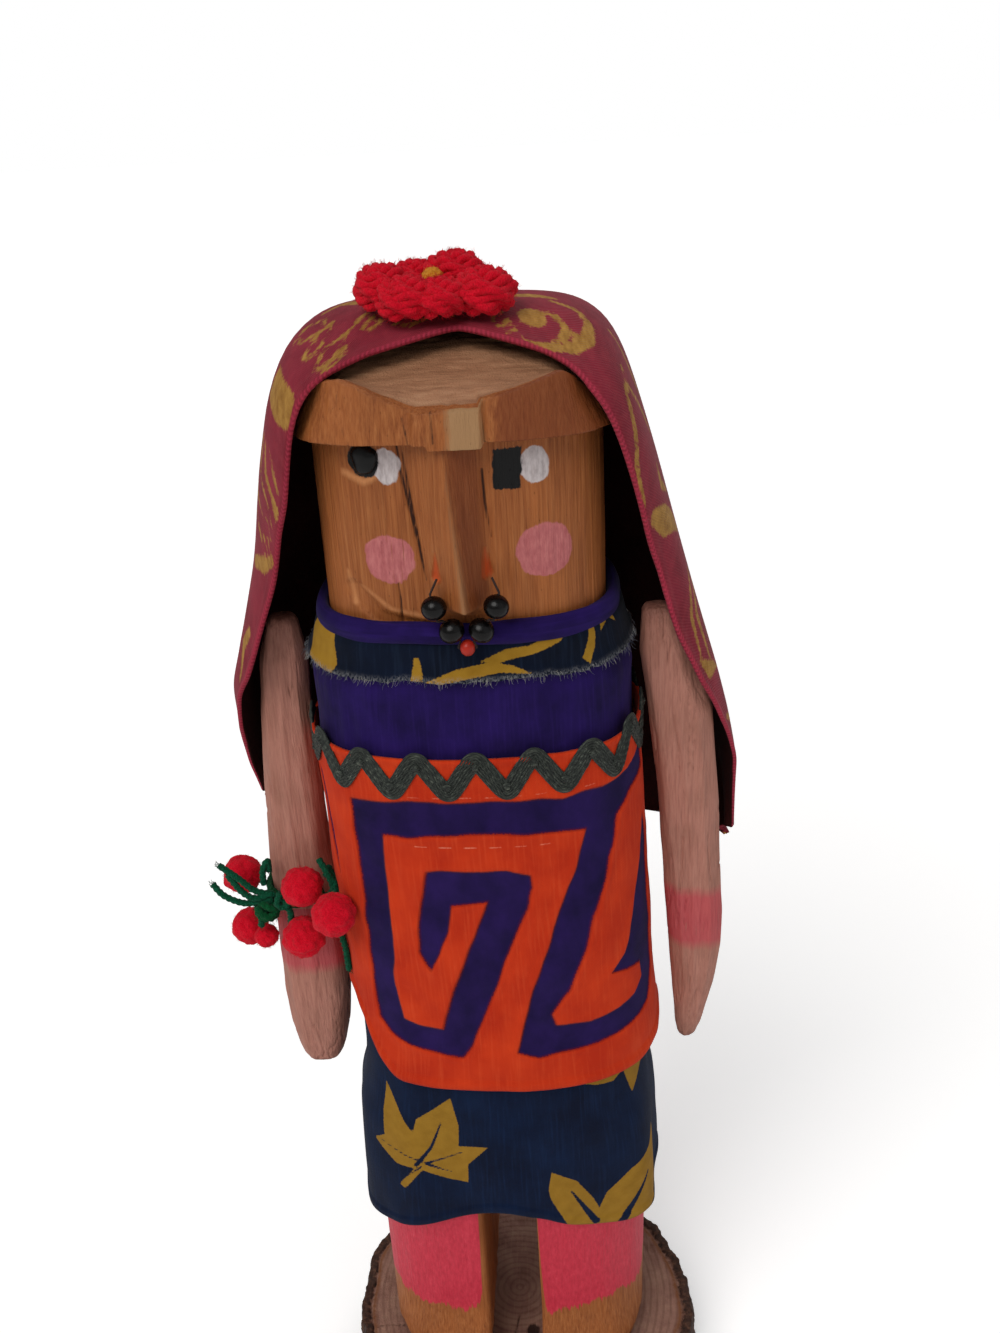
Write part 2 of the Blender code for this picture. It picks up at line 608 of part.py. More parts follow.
def bead_places():
    """Bead centres from the left nostril down to the tip and up to the right nostril."""
    front = -FACE_HALF_DEPTH - BEAD_FORWARD
    low = SLICE_THICKNESS + NOSE_TIP_UP + 0.0008
    step = 2.0 * BEAD_RADIUS + 0.0007
    side = 0.5 * step
    fall = math.sqrt(step**2 - (2.35 * BEAD_RADIUS - side) ** 2)
    tip = 0.86 * (BEAD_RADIUS + TIP_BEAD_RADIUS)
    left = [(-2.35 * BEAD_RADIUS, front, low), (-side, front, low - fall)]
    right = [(-x, y, z) for x, y, z in left[::-1]]
    return [*left, (0.0, front, low - fall - tip), *right]


def make_beads():
    """Five bored beads on one thread that hangs from the nostrils."""
    places = [Vector(place) for place in bead_places()]
    nostril = Vector((-0.62 * NOSE_HALF_WIDTH, 0.0, SLICE_THICKNESS + NOSE_TIP_UP + 0.0062))
    nostril.y = -FACE_HALF_DEPTH - NOSE_HEIGHT * 0.42 - THREAD_RADIUS
    ends = [nostril, Vector((-nostril.x, nostril.y, nostril.z))]
    stops = [ends[0], *places, ends[1]]
    route = [tuple(ends[0])]
    for index, place in enumerate(places):
        tip = index == 2
        radius = TIP_BEAD_RADIUS if tip else BEAD_RADIUS
        lean = math.asin(BEAD_BORE / radius)
        angles = np.linspace(0.5 * math.pi - lean, -0.5 * math.pi + lean, 6)
        outline = [(radius * math.cos(angle), radius * math.sin(angle)) for angle in angles]
        bead = turned(f"nose_bead_{index + 1}", outline, 10, BEAD_RED if tip else BEAD_GLASS)
        along = (stops[index + 2] - stops[index]).normalized()
        route += [tuple(place - along * (radius + GAP)), tuple(place + along * (radius + GAP))]
        bead.location = place
        bead.rotation_mode = "QUATERNION"
        bead.rotation_quaternion = along.to_track_quat("Z", "Y")
    route.append(tuple(ends[1]))
    yarn("nose_thread", np.array(route), THREAD_RADIUS, THREAD_DARK)


def bracelet_place(turn, out, rise=0.0):
    """A point beside the right arm at the bracelet's height, out from the arm's surface."""
    share = (BRACELET_UP + rise - RIGHT_HAND_UP) / (ARM_TOP_UP - RIGHT_HAND_UP)
    centre, up, half = arm_line("arm_right", share)
    x = centre + (half + out) * math.cos(turn)
    y = (ARM_DEPTH_SHARE * half + out) * math.sin(turn)
    return (x, y, SLICE_THICKNESS + up)


POMPOM_SPOTS = (
    (188.0, 0.0, 0.0039, 1.03),
    (196.0, 0.0, -0.0108, 0.97),
    (228.0, 0.0, -0.0098, 0.62),
    (281.0, 0.0, 0.0082, 1.04),
    (297.0, 0.0105, 0.0060, 1.10),
    (276.0, 0.0, -0.0062, 1.08),
)


def make_bracelet():
    """A loop of green yarn, its ends tucked in beside the torso, its knot and six pompoms."""
    turns = np.radians(np.linspace(YARN_TUCK, 360.0 - YARN_TUCK, 15))
    loop = [bracelet_place(turn, YARN_RADIUS + GAP) for turn in turns]
    yarn("bracelet_yarn", np.array(loop), YARN_RADIUS, GREEN_YARN)
    balls = [("yarn_knot", KNOT_TURN, 0.0, 0.0, KNOT_RADIUS, GREEN_YARN)]
    for index, (degrees, away, rise, size) in enumerate(POMPOM_SPOTS):
        balls.append((f"pompom_{index + 1}", degrees, away, rise, size * POMPOM_RADIUS, RED_YARN))
    for name, degrees, away, rise, radius, look in balls:
        mesh = bpy.data.meshes.new(name)
        ball = bmesh.new()
        bmesh.ops.create_icosphere(ball, subdivisions=2, radius=radius)
        ball.to_mesh(mesh)
        ball.free()
        piece = add_object(name, mesh, look, 60.0)
        out = 2.0 * (YARN_RADIUS + GAP) + radius + away
        piece.location = bracelet_place(math.radians(degrees), out, rise)


def clear_scene():
    """Empties the file and makes the doll's and the cutters' collections."""
    for item in list(bpy.data.objects):
        bpy.data.objects.remove(item, do_unlink=True)
    for name in ("folk_doll", "cutters"):
        collection = bpy.data.collections.new(name)
        bpy.context.scene.collection.children.link(collection)


def main():
    clear_scene()
    make_slice()
    make_body()
    for name in ARM_SHAPES:
        make_arm(name)
    make_skirt()
    make_blouse()
    make_binding()
    make_rickrack()
    make_scarf()
    make_flower()
    make_beads()
    make_bracelet()


main()
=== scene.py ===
"""Looks of the carved folk doll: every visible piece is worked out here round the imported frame."""

import bpy
import numpy as np
from mathutils import Matrix, Vector


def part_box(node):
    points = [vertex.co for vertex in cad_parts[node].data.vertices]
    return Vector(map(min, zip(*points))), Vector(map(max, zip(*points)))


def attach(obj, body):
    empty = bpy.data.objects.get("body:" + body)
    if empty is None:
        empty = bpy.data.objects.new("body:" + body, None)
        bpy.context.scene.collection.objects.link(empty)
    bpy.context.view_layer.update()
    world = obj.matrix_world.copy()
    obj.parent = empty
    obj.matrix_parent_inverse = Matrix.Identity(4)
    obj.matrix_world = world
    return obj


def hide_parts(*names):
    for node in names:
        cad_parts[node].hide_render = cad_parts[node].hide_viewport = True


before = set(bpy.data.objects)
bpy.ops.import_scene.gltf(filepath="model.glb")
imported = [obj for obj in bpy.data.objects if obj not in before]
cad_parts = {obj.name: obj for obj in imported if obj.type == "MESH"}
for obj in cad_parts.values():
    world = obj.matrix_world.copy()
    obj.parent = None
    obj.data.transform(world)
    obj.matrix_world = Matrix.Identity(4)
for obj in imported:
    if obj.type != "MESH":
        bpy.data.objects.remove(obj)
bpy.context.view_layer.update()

# Everything below is in millimetres, and laid in metres. Heights "up" are above the slice's top.
# FAR is a mark's value where it has no effect.
MM = 0.001
FAR = 9.0
SLICE_TOP = 18.0
SLICE_RADIUS = 49.4
SLICE_SIDE = 1.4
SLICE_FORWARD = 4.0
BARK_LUMP = 1.1
BARK_THICKNESS = 2.6

BODY_HALF_WIDTH = 35.8
BODY_HALF_DEPTH = 25.5
FACE_HALF_WIDTH = 30.8
FACE_HALF_DEPTH = 24.0
FACE_POWER = 2.8
ARM_POWER = 2.3
SHOULDER_UP = 200.0
SHOULDER_SWAY = -1.7
HEAD_SWAY = -1.8
HIP_SWAY = 0.4
NECKLINE_UP = 232.0
NOSE_TIP_UP = 238.5
NOSE_HEIGHT = 8.5
BRIM_UP = 272.5
BRIM_HEIGHT = 8.8
BRIM_HALF_WIDTH = 34.2
BRIM_HALF_DEPTH = 28.7
CROWN_RISE = 8.5
LEG_GAP = 14.6
LEG_GAP_SIDE = 0.5
LEG_TOP_UP = 80.0
TOE_UP = 12.0
TOE_REACH = 4.5

CLOTH = 0.75
# Share of a girth with fine columns, height of a weave's threads, strength of the slubs of a cotton, and the
# wave texture's scale for bands 1 mm apart.
FINE_SHARE = 0.52
WEAVE_DEPTH = 0.08
SLUB_SHARE = 0.35
WAVE_SCALE = 0.314
SKIRT_OUT = 1.0
YOKE_OUT = 0.6
MOLA_OUT = 2.1
COLLAR_OUT = 2.1
MOLA_HEM = 127.4
MOLA_TOP = 220.6
BRAID_HEIGHT = 216.6
BRAID_SWING = 4.0
BRAID_WAVES = 17
BRAID_HALF = 2.15
YOKE_TOP = 246.0
COLLAR_LOW = 239.2
COLLAR_TOP = 249.6

SCARF_CENTRE_BACK = 5.0
SCARF_CORNER = 185.0
SCARF_HALF_WIDTH = 60.5
SCARF_HALF_DEPTH = 32.5
SCARF_SHIFT = 3.8
SCARF_LIFT = 5.0
SCARF_TILT = np.radians(6.5)
SCARF_CLOTH = 0.9

BEAD_RADIUS = 2.7
TIP_RADIUS = 1.7
BEAD_BORE = 0.55
BEAD_FORWARD = 6.2
THREAD_RADIUS = 0.26


# Number helpers
def fade(value, start, end):
    """0 before start, 1 after end, and the cubic 3t^2 - 2t^3 between them."""
    part = np.clip((value - start) / (end - start), 0.0, 1.0)
    return part * part * (3.0 - 2.0 * part)


def lattice(x, y, z, seed):
    """A steady number from -1 to 1 for each whole-numbered cell, mixed from its three indices."""
    mixed = (x * 374761393 + y * 668265263 + z * 974634777 + seed * 144269504) & 0xFFFFFFFF
    mixed = ((mixed ^ (mixed >> 13)) * 1274126177) & 0xFFFFFFFF
    return ((mixed ^ (mixed >> 16)) & 0xFFFF) / 32767.5 - 1.0


def lumps(points, size, seed):
    """Smooth hills from -1 to 1: the cells' numbers, blended with 3t^2 - 2t^3 along each axis."""
    scaled = np.asarray(points) / np.asarray(size, float) + 4096.0
    whole = np.floor(scaled).astype(np.int64)
    part = scaled - whole
    part = part * part * (3.0 - 2.0 * part)
    total = 0.0
    for dx in (0, 1):
        for dy in (0, 1):
            for dz in (0, 1):
                weight = np.abs(1 - dx - part[..., 0]) * np.abs(1 - dy - part[..., 1])
                weight = weight * np.abs(1 - dz - part[..., 2])
                cell = lattice(whole[..., 0] + dx, whole[..., 1] + dy, whole[..., 2] + dz, seed)
                total = total + weight * cell
    return total


def lumps_at(size, seed, *coordinates):
    """The same hills over one, two or three plain coordinates."""
    filled = list(coordinates) + [0.37] * (3 - len(coordinates))
    return lumps(np.stack(np.broadcast_arrays(*filled), axis=-1), size, seed)


def unit(ways):
    """The same directions at length 1."""
    return ways / (np.linalg.norm(ways, axis=-1, keepdims=True) + 1e-9)


def outward(points):
    """Level directions from the doll's upright axis through points."""
    return unit(points * (1.0, 1.0, 0.0))


def full_turn(count, start=0.0):
    """Evenly spaced angles once round."""
    return np.linspace(start, start + 2.0 * np.pi, count, endpoint=False)


def smoothed(values, times):
    """Each row blended with its neighbours by quarters, the first and last rows held."""
    values = values.copy()
    for _ in range(times):
        values[1:-1] = 0.25 * values[:-2] + 0.5 * values[1:-1] + 0.25 * values[2:]
    return values


def along_stops(stops, count):
    """Points evenly spread in step number along the straight lines between stops."""
    steps = np.arange(len(stops))
    return np.stack([np.interp(np.linspace(0, steps[-1], count), steps, column) for column in stops.T],
                    axis=-1)


def nearest_outline(x, y, outlines):
    """Signed distance to the nearest of several closed outlines, at most FAR."""
    return np.minimum.reduce([np.full(np.shape(x), FAR), *[polygon_depth(x, y, shape) for shape in outlines]])


def nearest_stroke(x, y, strokes):
    """Signed distance to the nearest of several strokes, each its points and half widths, at most FAR."""
    return np.minimum.reduce([np.full(np.shape(x), FAR), *[line_depth(x, y, *stroke) for stroke in strokes]])


def polygon_depth(x, y, corners):
    """Signed distance to a closed outline: below 0 inside it, above 0 outside it."""
    corners = np.asarray(corners, float)
    nearest = np.full(np.shape(x), 1e9)
    inside = np.zeros(np.shape(x), bool)
    for (ax, ay), (bx, by) in zip(corners, np.roll(corners, -1, axis=0)):
        ex, ey = bx - ax, by - ay
        along = np.clip(((x - ax) * ex + (y - ay) * ey) / (ex * ex + ey * ey), 0.0, 1.0)
        nearest = np.minimum(nearest, (x - ax - along * ex) ** 2 + (y - ay - along * ey) ** 2)
        crosses = (ay > y) != (by > y)
        slope = ex * (y - ay) / (ey if ey else 1e-9) + ax
        inside ^= crosses & (x < slope)
    return np.where(inside, -1.0, 1.0) * np.sqrt(nearest)


def line_depth(x, y, points, half_width):
    """Signed distance to a stroke along points, whose half width runs from first to last value."""
    points = np.asarray(points, float)
    widths = np.interp(np.arange(len(points)), np.linspace(0, len(points) - 1, len(half_width)), half_width)
    nearest = np.full(np.shape(x), 1e9)
    for index in range(len(points) - 1):
        (ax, ay), (bx, by) = points[index], points[index + 1]
        ex, ey = bx - ax, by - ay
        along = np.clip(((x - ax) * ex + (y - ay) * ey) / (ex * ex + ey * ey), 0.0, 1.0)
        reach = np.hypot(x - ax - along * ex, y - ay - along * ey)
        nearest = np.minimum(nearest, reach - widths[index] * (1 - along) - widths[index + 1] * along)
    return nearest


# Mesh helpers
def patch(points, around=False, low=False, high=False, across=None, along=None, **marks):
    """A grid of points as faces. around joins the last column to the first, and low and high
    close the first and last rows with a fan to their middle point. across and along are the
    grid's own coordinates (one more column than the points where around), kept as its UV map."""
    rows, columns = points.shape[:2]
    index = np.arange(rows * columns).reshape(rows, columns)
    right = np.roll(index, -1, axis=1) if around else index[:, 1:]
    left = index if around else index[:, :-1]
    quads = np.stack([left[:-1], right[:-1], right[1:], left[1:]], axis=-1).reshape(-1, 4)
    verts = points.reshape(-1, 3)
    values = {name: np.broadcast_to(value, (rows, columns)).ravel() for name, value in marks.items()}
    corners = None
    if across is not None:
        wide = columns + 1 if around else columns
        u, v = np.broadcast_to(across, (rows, wide)), np.broadcast_to(along, (rows, wide))
        four = [(u[:-1, :-1], v[:-1, :-1]), (u[:-1, 1:], v[:-1, 1:]), (u[1:, 1:], v[1:, 1:]),
                (u[1:, :-1], v[1:, :-1])]
        corners = np.stack([np.stack(pair, axis=-1) for pair in four], axis=2).reshape(-1, 2)
    fans = []
    for wanted, row, turned_round in ((low, 0, True), (high, rows - 1, False)):
        if wanted:
            pole = len(verts)
            verts = np.vstack([verts, points[row].mean(axis=0)[None]])
            for name in values:
                values[name] = np.append(values[name], values[name][index[row]].mean())
            a, b = (right[row], left[row]) if turned_round else (left[row], right[row])
            fans.append(np.stack([a, b, np.full(len(a), pole)], axis=-1))
    fan = np.vstack(fans) if fans else np.zeros((0, 3), int)
    return {"verts": verts, "quads": quads, "fans": fan, "values": values, "corners": corners}


def capped(points, **marks):
    """A patch closed round and at both ends."""
    return patch(points, around=True, low=True, high=True, **marks)


def piece(name, patches, finish, stands_for=(), flip=None):
    """Joins patches to one mesh object with its finish, faces outwards, riding on the doll."""
    verts, faces, corners, names = [], [], [], []
    start = 0
    for part in patches:
        faces += (part["quads"] + start).tolist() + (part["fans"] + start).tolist()
        verts.append(part["verts"])
        names += [value for value in part["values"] if value not in names]
        if part["corners"] is not None:
            corners.append(np.vstack([part["corners"], np.zeros((3 * len(part["fans"]), 2))]))
        start += len(part["verts"])
    verts = np.vstack(verts)
    mesh = bpy.data.meshes.new(name)
    mesh.from_pydata((verts * MM).tolist(), [], faces)
    for value in names:
        filled = [part["values"].get(value, np.full(len(part["verts"]), FAR)) for part in patches]
        mesh.attributes.new(value, "FLOAT", "POINT").data.foreach_set("value", np.concatenate(filled))
    if corners:
        mesh.uv_layers.new(name="cut").data.foreach_set("uv", np.vstack(corners).ravel())
    if flip is None:
        mesh.calc_loop_triangles()
        triangles = np.zeros(3 * len(mesh.loop_triangles), np.int32)
        mesh.loop_triangles.foreach_get("vertices", triangles)
        a, b, c = (verts[triangles.reshape(-1, 3)[:, corner]] for corner in range(3))
        flip = np.einsum("ij,ij->i", a, np.cross(b, c)).sum() < 0
    if flip:
        mesh.flip_normals()
    mesh.polygons.foreach_set("use_smooth", np.full(len(mesh.polygons), True))
    mesh.materials.append(finish)
    mesh.update()
    made = bpy.data.objects.new(name, mesh)
    bpy.context.scene.collection.objects.link(made)
    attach(made, "root")
    if stands_for:
        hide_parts(*stands_for)
    return made


def walled(made, thickness):
    """Gives a cloth its thickness, inwards from the face that shows."""
    wall = made.modifiers.new("wall", "SOLIDIFY")
    wall.thickness = thickness * MM
    wall.offset = -1.0
    wall.use_even_offset = False
    return made


def tube(path, radius, sides, away, plies, twist, depth, closed=False, flat=1.0):
    """A round profile carried along a path (points, 3). At each point the profile's first axis is
    the given direction away cleared of the path's own direction, and the second is square to
    both. plies strands wind round it: radius * (1 - depth * (1 - |cos(plies/2 * (angle - twist *
    length))|))."""
    step = np.gradient(path, axis=0) if not closed else np.roll(path, -1, 0) - np.roll(path, 1, 0)
    step = unit(step)
    first = unit(away - step * np.sum(away * step, axis=1, keepdims=True))
    second = np.cross(step, first)
    hops = np.linalg.norm(np.diff(path, axis=0), axis=1)
    length = np.concatenate([[0.0], np.cumsum(hops)])[:, None]
    angle = full_turn(sides)[None]
    reach = np.broadcast_to(np.asarray(radius, float).reshape(-1, 1), (len(path), 1)) * np.ones_like(angle)
    reach = reach * (1.0 - depth * (1.0 - np.abs(np.cos(0.5 * plies * (angle - twist * length)))))
    return (
        path[:, None]
        + (reach * np.cos(angle))[..., None] * first[:, None]
        + (flat * reach * np.sin(angle))[..., None] * second[:, None]
    )


def hairs(roots, tips, radius, sag, seed):
    """Many fine fibres as one patch: each a three-sided tube of four rings from root to tip, bowed
    sideways by sag times its length, and tapering to a third of its thickness."""
    random = np.random.default_rng(seed)
    count = len(roots)
    part = np.linspace(0.0, 1.0, 4)[None, :, None]
    reach = np.linalg.norm(tips - roots, axis=1)[:, None, None]
    side = unit(random.normal(size=(count, 1, 3)))
    line = roots[:, None] * (1 - part) + tips[:, None] * part
    line = line + 4.0 * part * (1 - part) * sag * reach * side
    way = (tips - roots)[:, None] / (reach + 1e-9)
    first = unit(np.cross(way, side))
    second = np.cross(way, first)
    angle = full_turn(3)[None, None, :, None]
    thick = radius * (1.0 - 0.66 * part)[..., None]
    points = line[:, :, None] + thick * (np.cos(angle) * first[:, :, None]
                                         + np.sin(angle) * second[:, :, None])
    rings = np.arange(count * 12).reshape(count, 4, 3)
    ahead = np.roll(rings, -1, axis=2)
    quads = np.stack([rings[:, :-1], ahead[:, :-1], ahead[:, 1:], rings[:, 1:]], axis=-1).reshape(-1, 4)
    fans = np.vstack([rings[:, 0, ::-1], rings[:, -1]])
    return {"verts": points.reshape(-1, 3), "quads": quads, "fans": fans, "values": {}, "corners": None}


# Forms shared with the solids
def squircle(turn, half_width, front, back, power):
    """Reach of |x/w|^n + |y/d|^n = 1 towards each turn from the front, d being front or back."""
    across, forward = np.sin(turn), -np.cos(turn)
    depth = np.where(forward < 0, front, back)
    return (np.abs(across / half_width) ** power + np.abs(forward / depth) ** power) ** (-1.0 / power)


def log_size(up):
    """Half width, half depth, power and sideways sway of the log at a height."""
    wide, deep = BODY_HALF_WIDTH, BODY_HALF_DEPTH
    between = 0.85 * wide + 0.15 * FACE_HALF_WIDTH
    slope = 0.5 * (NECKLINE_UP + SHOULDER_UP)
    ups = (0, TOE_UP, 0.17 * SHOULDER_UP, 0.45 * SHOULDER_UP, 0.62 * SHOULDER_UP, 0.84 * SHOULDER_UP,
           SHOULDER_UP, slope, NECKLINE_UP)
    widths = (1.02 * wide, 1.03 * wide, 1.04 * wide, 1.03 * wide, 1.01 * wide, wide, 0.985 * wide, between,
              FACE_HALF_WIDTH)
    depths = (0.98 * deep, 0.96 * deep, 0.96 * deep, 0.99 * deep, deep, deep, 0.99 * deep, 0.975 * deep,
              FACE_HALF_DEPTH)
    powers = (3.0, 3.0, 2.9, 2.6, 2.5, 2.5, 2.5, 2.5, 2.7)
    sways = (*[HIP_SWAY] * 5, 0.4 * SHOULDER_SWAY, SHOULDER_SWAY, SHOULDER_SWAY, HEAD_SWAY)
    return [np.interp(up, ups, row) for row in (widths, depths, powers, sways)]


def log_points(turn, up, grow):
    """Points round the log at heights up, grown outwards. turn and up broadcast to a grid."""
    width, depth, power, sway = log_size(up)
    reach = squircle(turn, width + grow, depth + grow, depth + grow, power)
    x = sway + reach * np.sin(turn)
    y = -reach * np.cos(turn)
    return np.stack(np.broadcast_arrays(x, y, SLICE_TOP + up), axis=-1)


def even_turns(grow, front_step, back_step):
    """Turns round the torso spaced by arc length, finer over the front, and the arc from the
    front's middle at each turn, in millimetres."""
    turn = np.linspace(-np.pi, np.pi, 4001)
    ring = log_points(turn, 0.7 * SHOULDER_UP, grow)
    arc = np.concatenate([[0.0], np.cumsum(np.linalg.norm(np.diff(ring, axis=0), axis=1))])
    arc -= arc[2000]
    half = FINE_SHARE * arc[-1]
    front = np.linspace(-half, half, int(2 * half / front_step))
    back = np.linspace(half, 2 * arc[-1] - half, int(2 * (arc[-1] - half) / back_step) + 2)[1:-1]
    places = np.concatenate([front, back])
    places = np.sort(np.where(places > arc[-1], places - 2 * arc[-1], places))
    return np.interp(places, arc, turn), places, 2 * arc[-1]


def arm_rings(node):
    """Heights, middles and half sizes of a carved arm, read off its solid ring by ring."""
    co = np.array([tuple(v.co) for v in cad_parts[node].data.vertices]) / MM
    level = np.round(co[:, 2], 2)
    rows = []
    for height in np.unique(level):
        ring = co[level == height]
        if len(ring) > 8:
            low, high = ring.min(axis=0), ring.max(axis=0)
            rows.append((height, *(0.5 * (low + high))[:2], *(0.5 * (high - low))[:2]))
    return np.array(rows).T


# Finishes
class Finish:
    """One material's nodes, added by short calls. Lengths are in millimetres."""

    def __init__(self, name, **fixed):
        self.material = bpy.data.materials.new(name)
        self.material.use_nodes = True
        self.tree = self.material.node_tree
        self.shader = self.tree.nodes["Principled BSDF"]
        for socket, value in fixed.items():
            self.shader.inputs[socket.replace("_", " ")].default_value = value
        self.height = None

    def node(self, kind, inputs=(), **settings):
        made = self.tree.nodes.new("ShaderNode" + kind)
        for setting, value in settings.items():
            setattr(made, setting, value)
        for socket, value in dict(inputs).items():
            if isinstance(value, bpy.types.NodeSocket):
                self.tree.links.new(value, made.inputs[socket])
            else:
                made.inputs[socket].default_value = value
        return made

    def place(self, stretch, turn=(0, 0, 0)):
        """Object coordinates in millimetres, squeezed by stretch."""
        spot = self.node("TexCoord").outputs["Object"]
        scale = [1.0 / (MM * s) for s in stretch]
        return self.node("Mapping", {"Vector": spot, "Scale": scale, "Rotation": turn}).outputs["Vector"]

    def cut(self, stretch=(1, 1, 1), turn=0.0):
        """The piece's own UV map in millimetres, squeezed by stretch."""
        spot = self.node("UVMap", uv_map="cut").outputs["UV"]
        scale = [1.0 / s for s in stretch]
        return self.node("Mapping", {"Vector": spot, "Scale": scale,
                                     "Rotation": (0, 0, turn)}).outputs["Vector"]

    def noise(self, spot, detail, rough, twist):
        inputs = {"Vector": spot, "Scale": 1.0, "Detail": detail, "Roughness": rough, "Distortion": twist}
        return self.node("TexNoise", inputs).outputs["Fac"]

    def grain(self, stretch, detail, rough=0.5, twist=0.0, turn=(0, 0, 0)):
        """Noise through the whole piece."""
        return self.noise(self.place(stretch, turn), detail, rough, twist)

    def slub(self, stretch, detail, rough=0.5):
        """Noise over the piece's own UV map."""
        return self.noise(self.cut((*stretch, 1)), detail, rough, 0.0)

    def cells(self, stretch):
        return self.node("TexVoronoi", {"Vector": self.place(stretch), "Scale": 1.0}).outputs["Distance"]

    def bands(self, spot, size, axis, wander=0.0):
        inputs = {"Vector": spot, "Scale": WAVE_SCALE / size, "Distortion": wander, "Detail": 1.0}
        return self.node("TexWave", inputs, bands_direction=axis).outputs["Fac"]

    def mark(self, name):
        return self.node("Attribute", attribute_name=name).outputs["Fac"]

    def times(self, a, b):
        return self.sum("MULTIPLY", a, b)

    def sum(self, operation, a, b=0.0):
        made = self.node("Math", operation=operation)
        for socket, value in zip(made.inputs, (a, b)):
            if isinstance(value, bpy.types.NodeSocket):
                self.tree.links.new(value, socket)
            else:
                socket.default_value = value
        return made.outputs[0]

    def step(self, value, low, high, to_low=0.0, to_high=1.0):
        """value from low to high carried to to_low to to_high, and held at the ends."""
        inputs = {"Value": value, "From Min": low, "From Max": high, "To Min": to_low, "To Max": to_high}
        return self.node("MapRange", inputs).outputs["Result"]

    def inside(self, name, soft, ragged, by):
        """1 where a named signed distance is below 0, with an edge made ragged by a noise."""
        mark = self.sum("ADD", self.mark(name), self.step(ragged, 0.0, 1.0, -by, by))
        return self.step(mark, -soft, soft, 1.0, 0.0)

    def mix(self, part, a, b):
        made = self.node("Mix", data_type="RGBA")
        for socket, value in ((0, part), (6, a), (7, b)):
            if isinstance(value, bpy.types.NodeSocket):
                self.tree.links.new(value, made.inputs[socket])
            elif socket == 0:
                made.inputs[0].default_value = value
            else:
                made.inputs[socket].default_value = paint(value)
        return made.outputs[2]

    def ramp(self, value, *stops):
        made = self.node("ValToRGB", {"Fac": value})
        elements = made.color_ramp.elements
        while len(elements) < len(stops):
            elements.new(0.5)
        for element, (place, colour) in zip(elements, stops):
            element.position = place
            element.color = paint(colour)
        return made.outputs["Color"]

    def lift(self, height, distance):
        """Bump of that many millimetres on top of the bumps before it."""
        inputs = {"Height": height, "Distance": distance * MM}
        if self.height is not None:
            inputs["Normal"] = self.height
        self.height = self.node("Bump", inputs).outputs["Normal"]

    def done(self, colour, rough=None):
        self.tree.links.new(colour, self.shader.inputs["Base Color"])
        if rough is not None:
            self.tree.links.new(rough, self.shader.inputs["Roughness"])
        if self.height is not None:
            self.tree.links.new(self.height, self.shader.inputs["Normal"])
        return self.material


def paint(rgb):
    """A colour given as sRGB 0 to 255, as the linear RGBA that sockets take."""
    share = np.asarray(rgb, float) / 255.0
    linear = np.where(share <= 0.04045, share / 12.92, ((share + 0.055) / 1.055) ** 2.4)
    return (*linear.tolist(), 1.0)


def weave(made, pitch):
    """Plain weave: warp and weft threads cross, each a rounded band. Returns the threads' shade."""
    warp = made.bands(made.cut(), pitch, "X")
    weft = made.bands(made.cut(), pitch, "Y")
    both = made.times(warp, weft)
    crossed = made.sum("ADD", made.times(warp, 0.5), made.times(weft, 0.5))
    threads = made.sum("SUBTRACT", crossed, both)
    uneven = made.slub((0.6, 6.0), 2.0)
    threads = made.times(threads, made.step(uneven, 0.2, 0.8, 0.6, 1.2))
    made.lift(threads, WEAVE_DEPTH)
    return threads


def cotton(name, colour, dark, light, pitch=0.5):
    """Plain dyed cotton: woven threads, slubs, and slow fading and dust over the cloth, with painted shade
    where the threads dip.
    """
    made = Finish(name, Sheen_Weight=0.03, Sheen_Roughness=0.5, Specular_IOR_Level=0.12, Roughness=0.9)
    threads = weave(made, pitch)
    slow = made.slub((14, 18), 4.0, 0.6)
    streak = made.slub((0.7, 14.0), 3.0)
    base = made.mix(made.step(slow, 0.35, 0.7), dark, colour)
    base = made.mix(made.times(made.step(streak, 0.5, 0.8), SLUB_SHARE), base, light)
    # painted shade: darker where the woven threads dip
    base = made.mix(made.step(threads, 0.0, 0.5, 0.35, 0.0), base, dark)
    return made, base


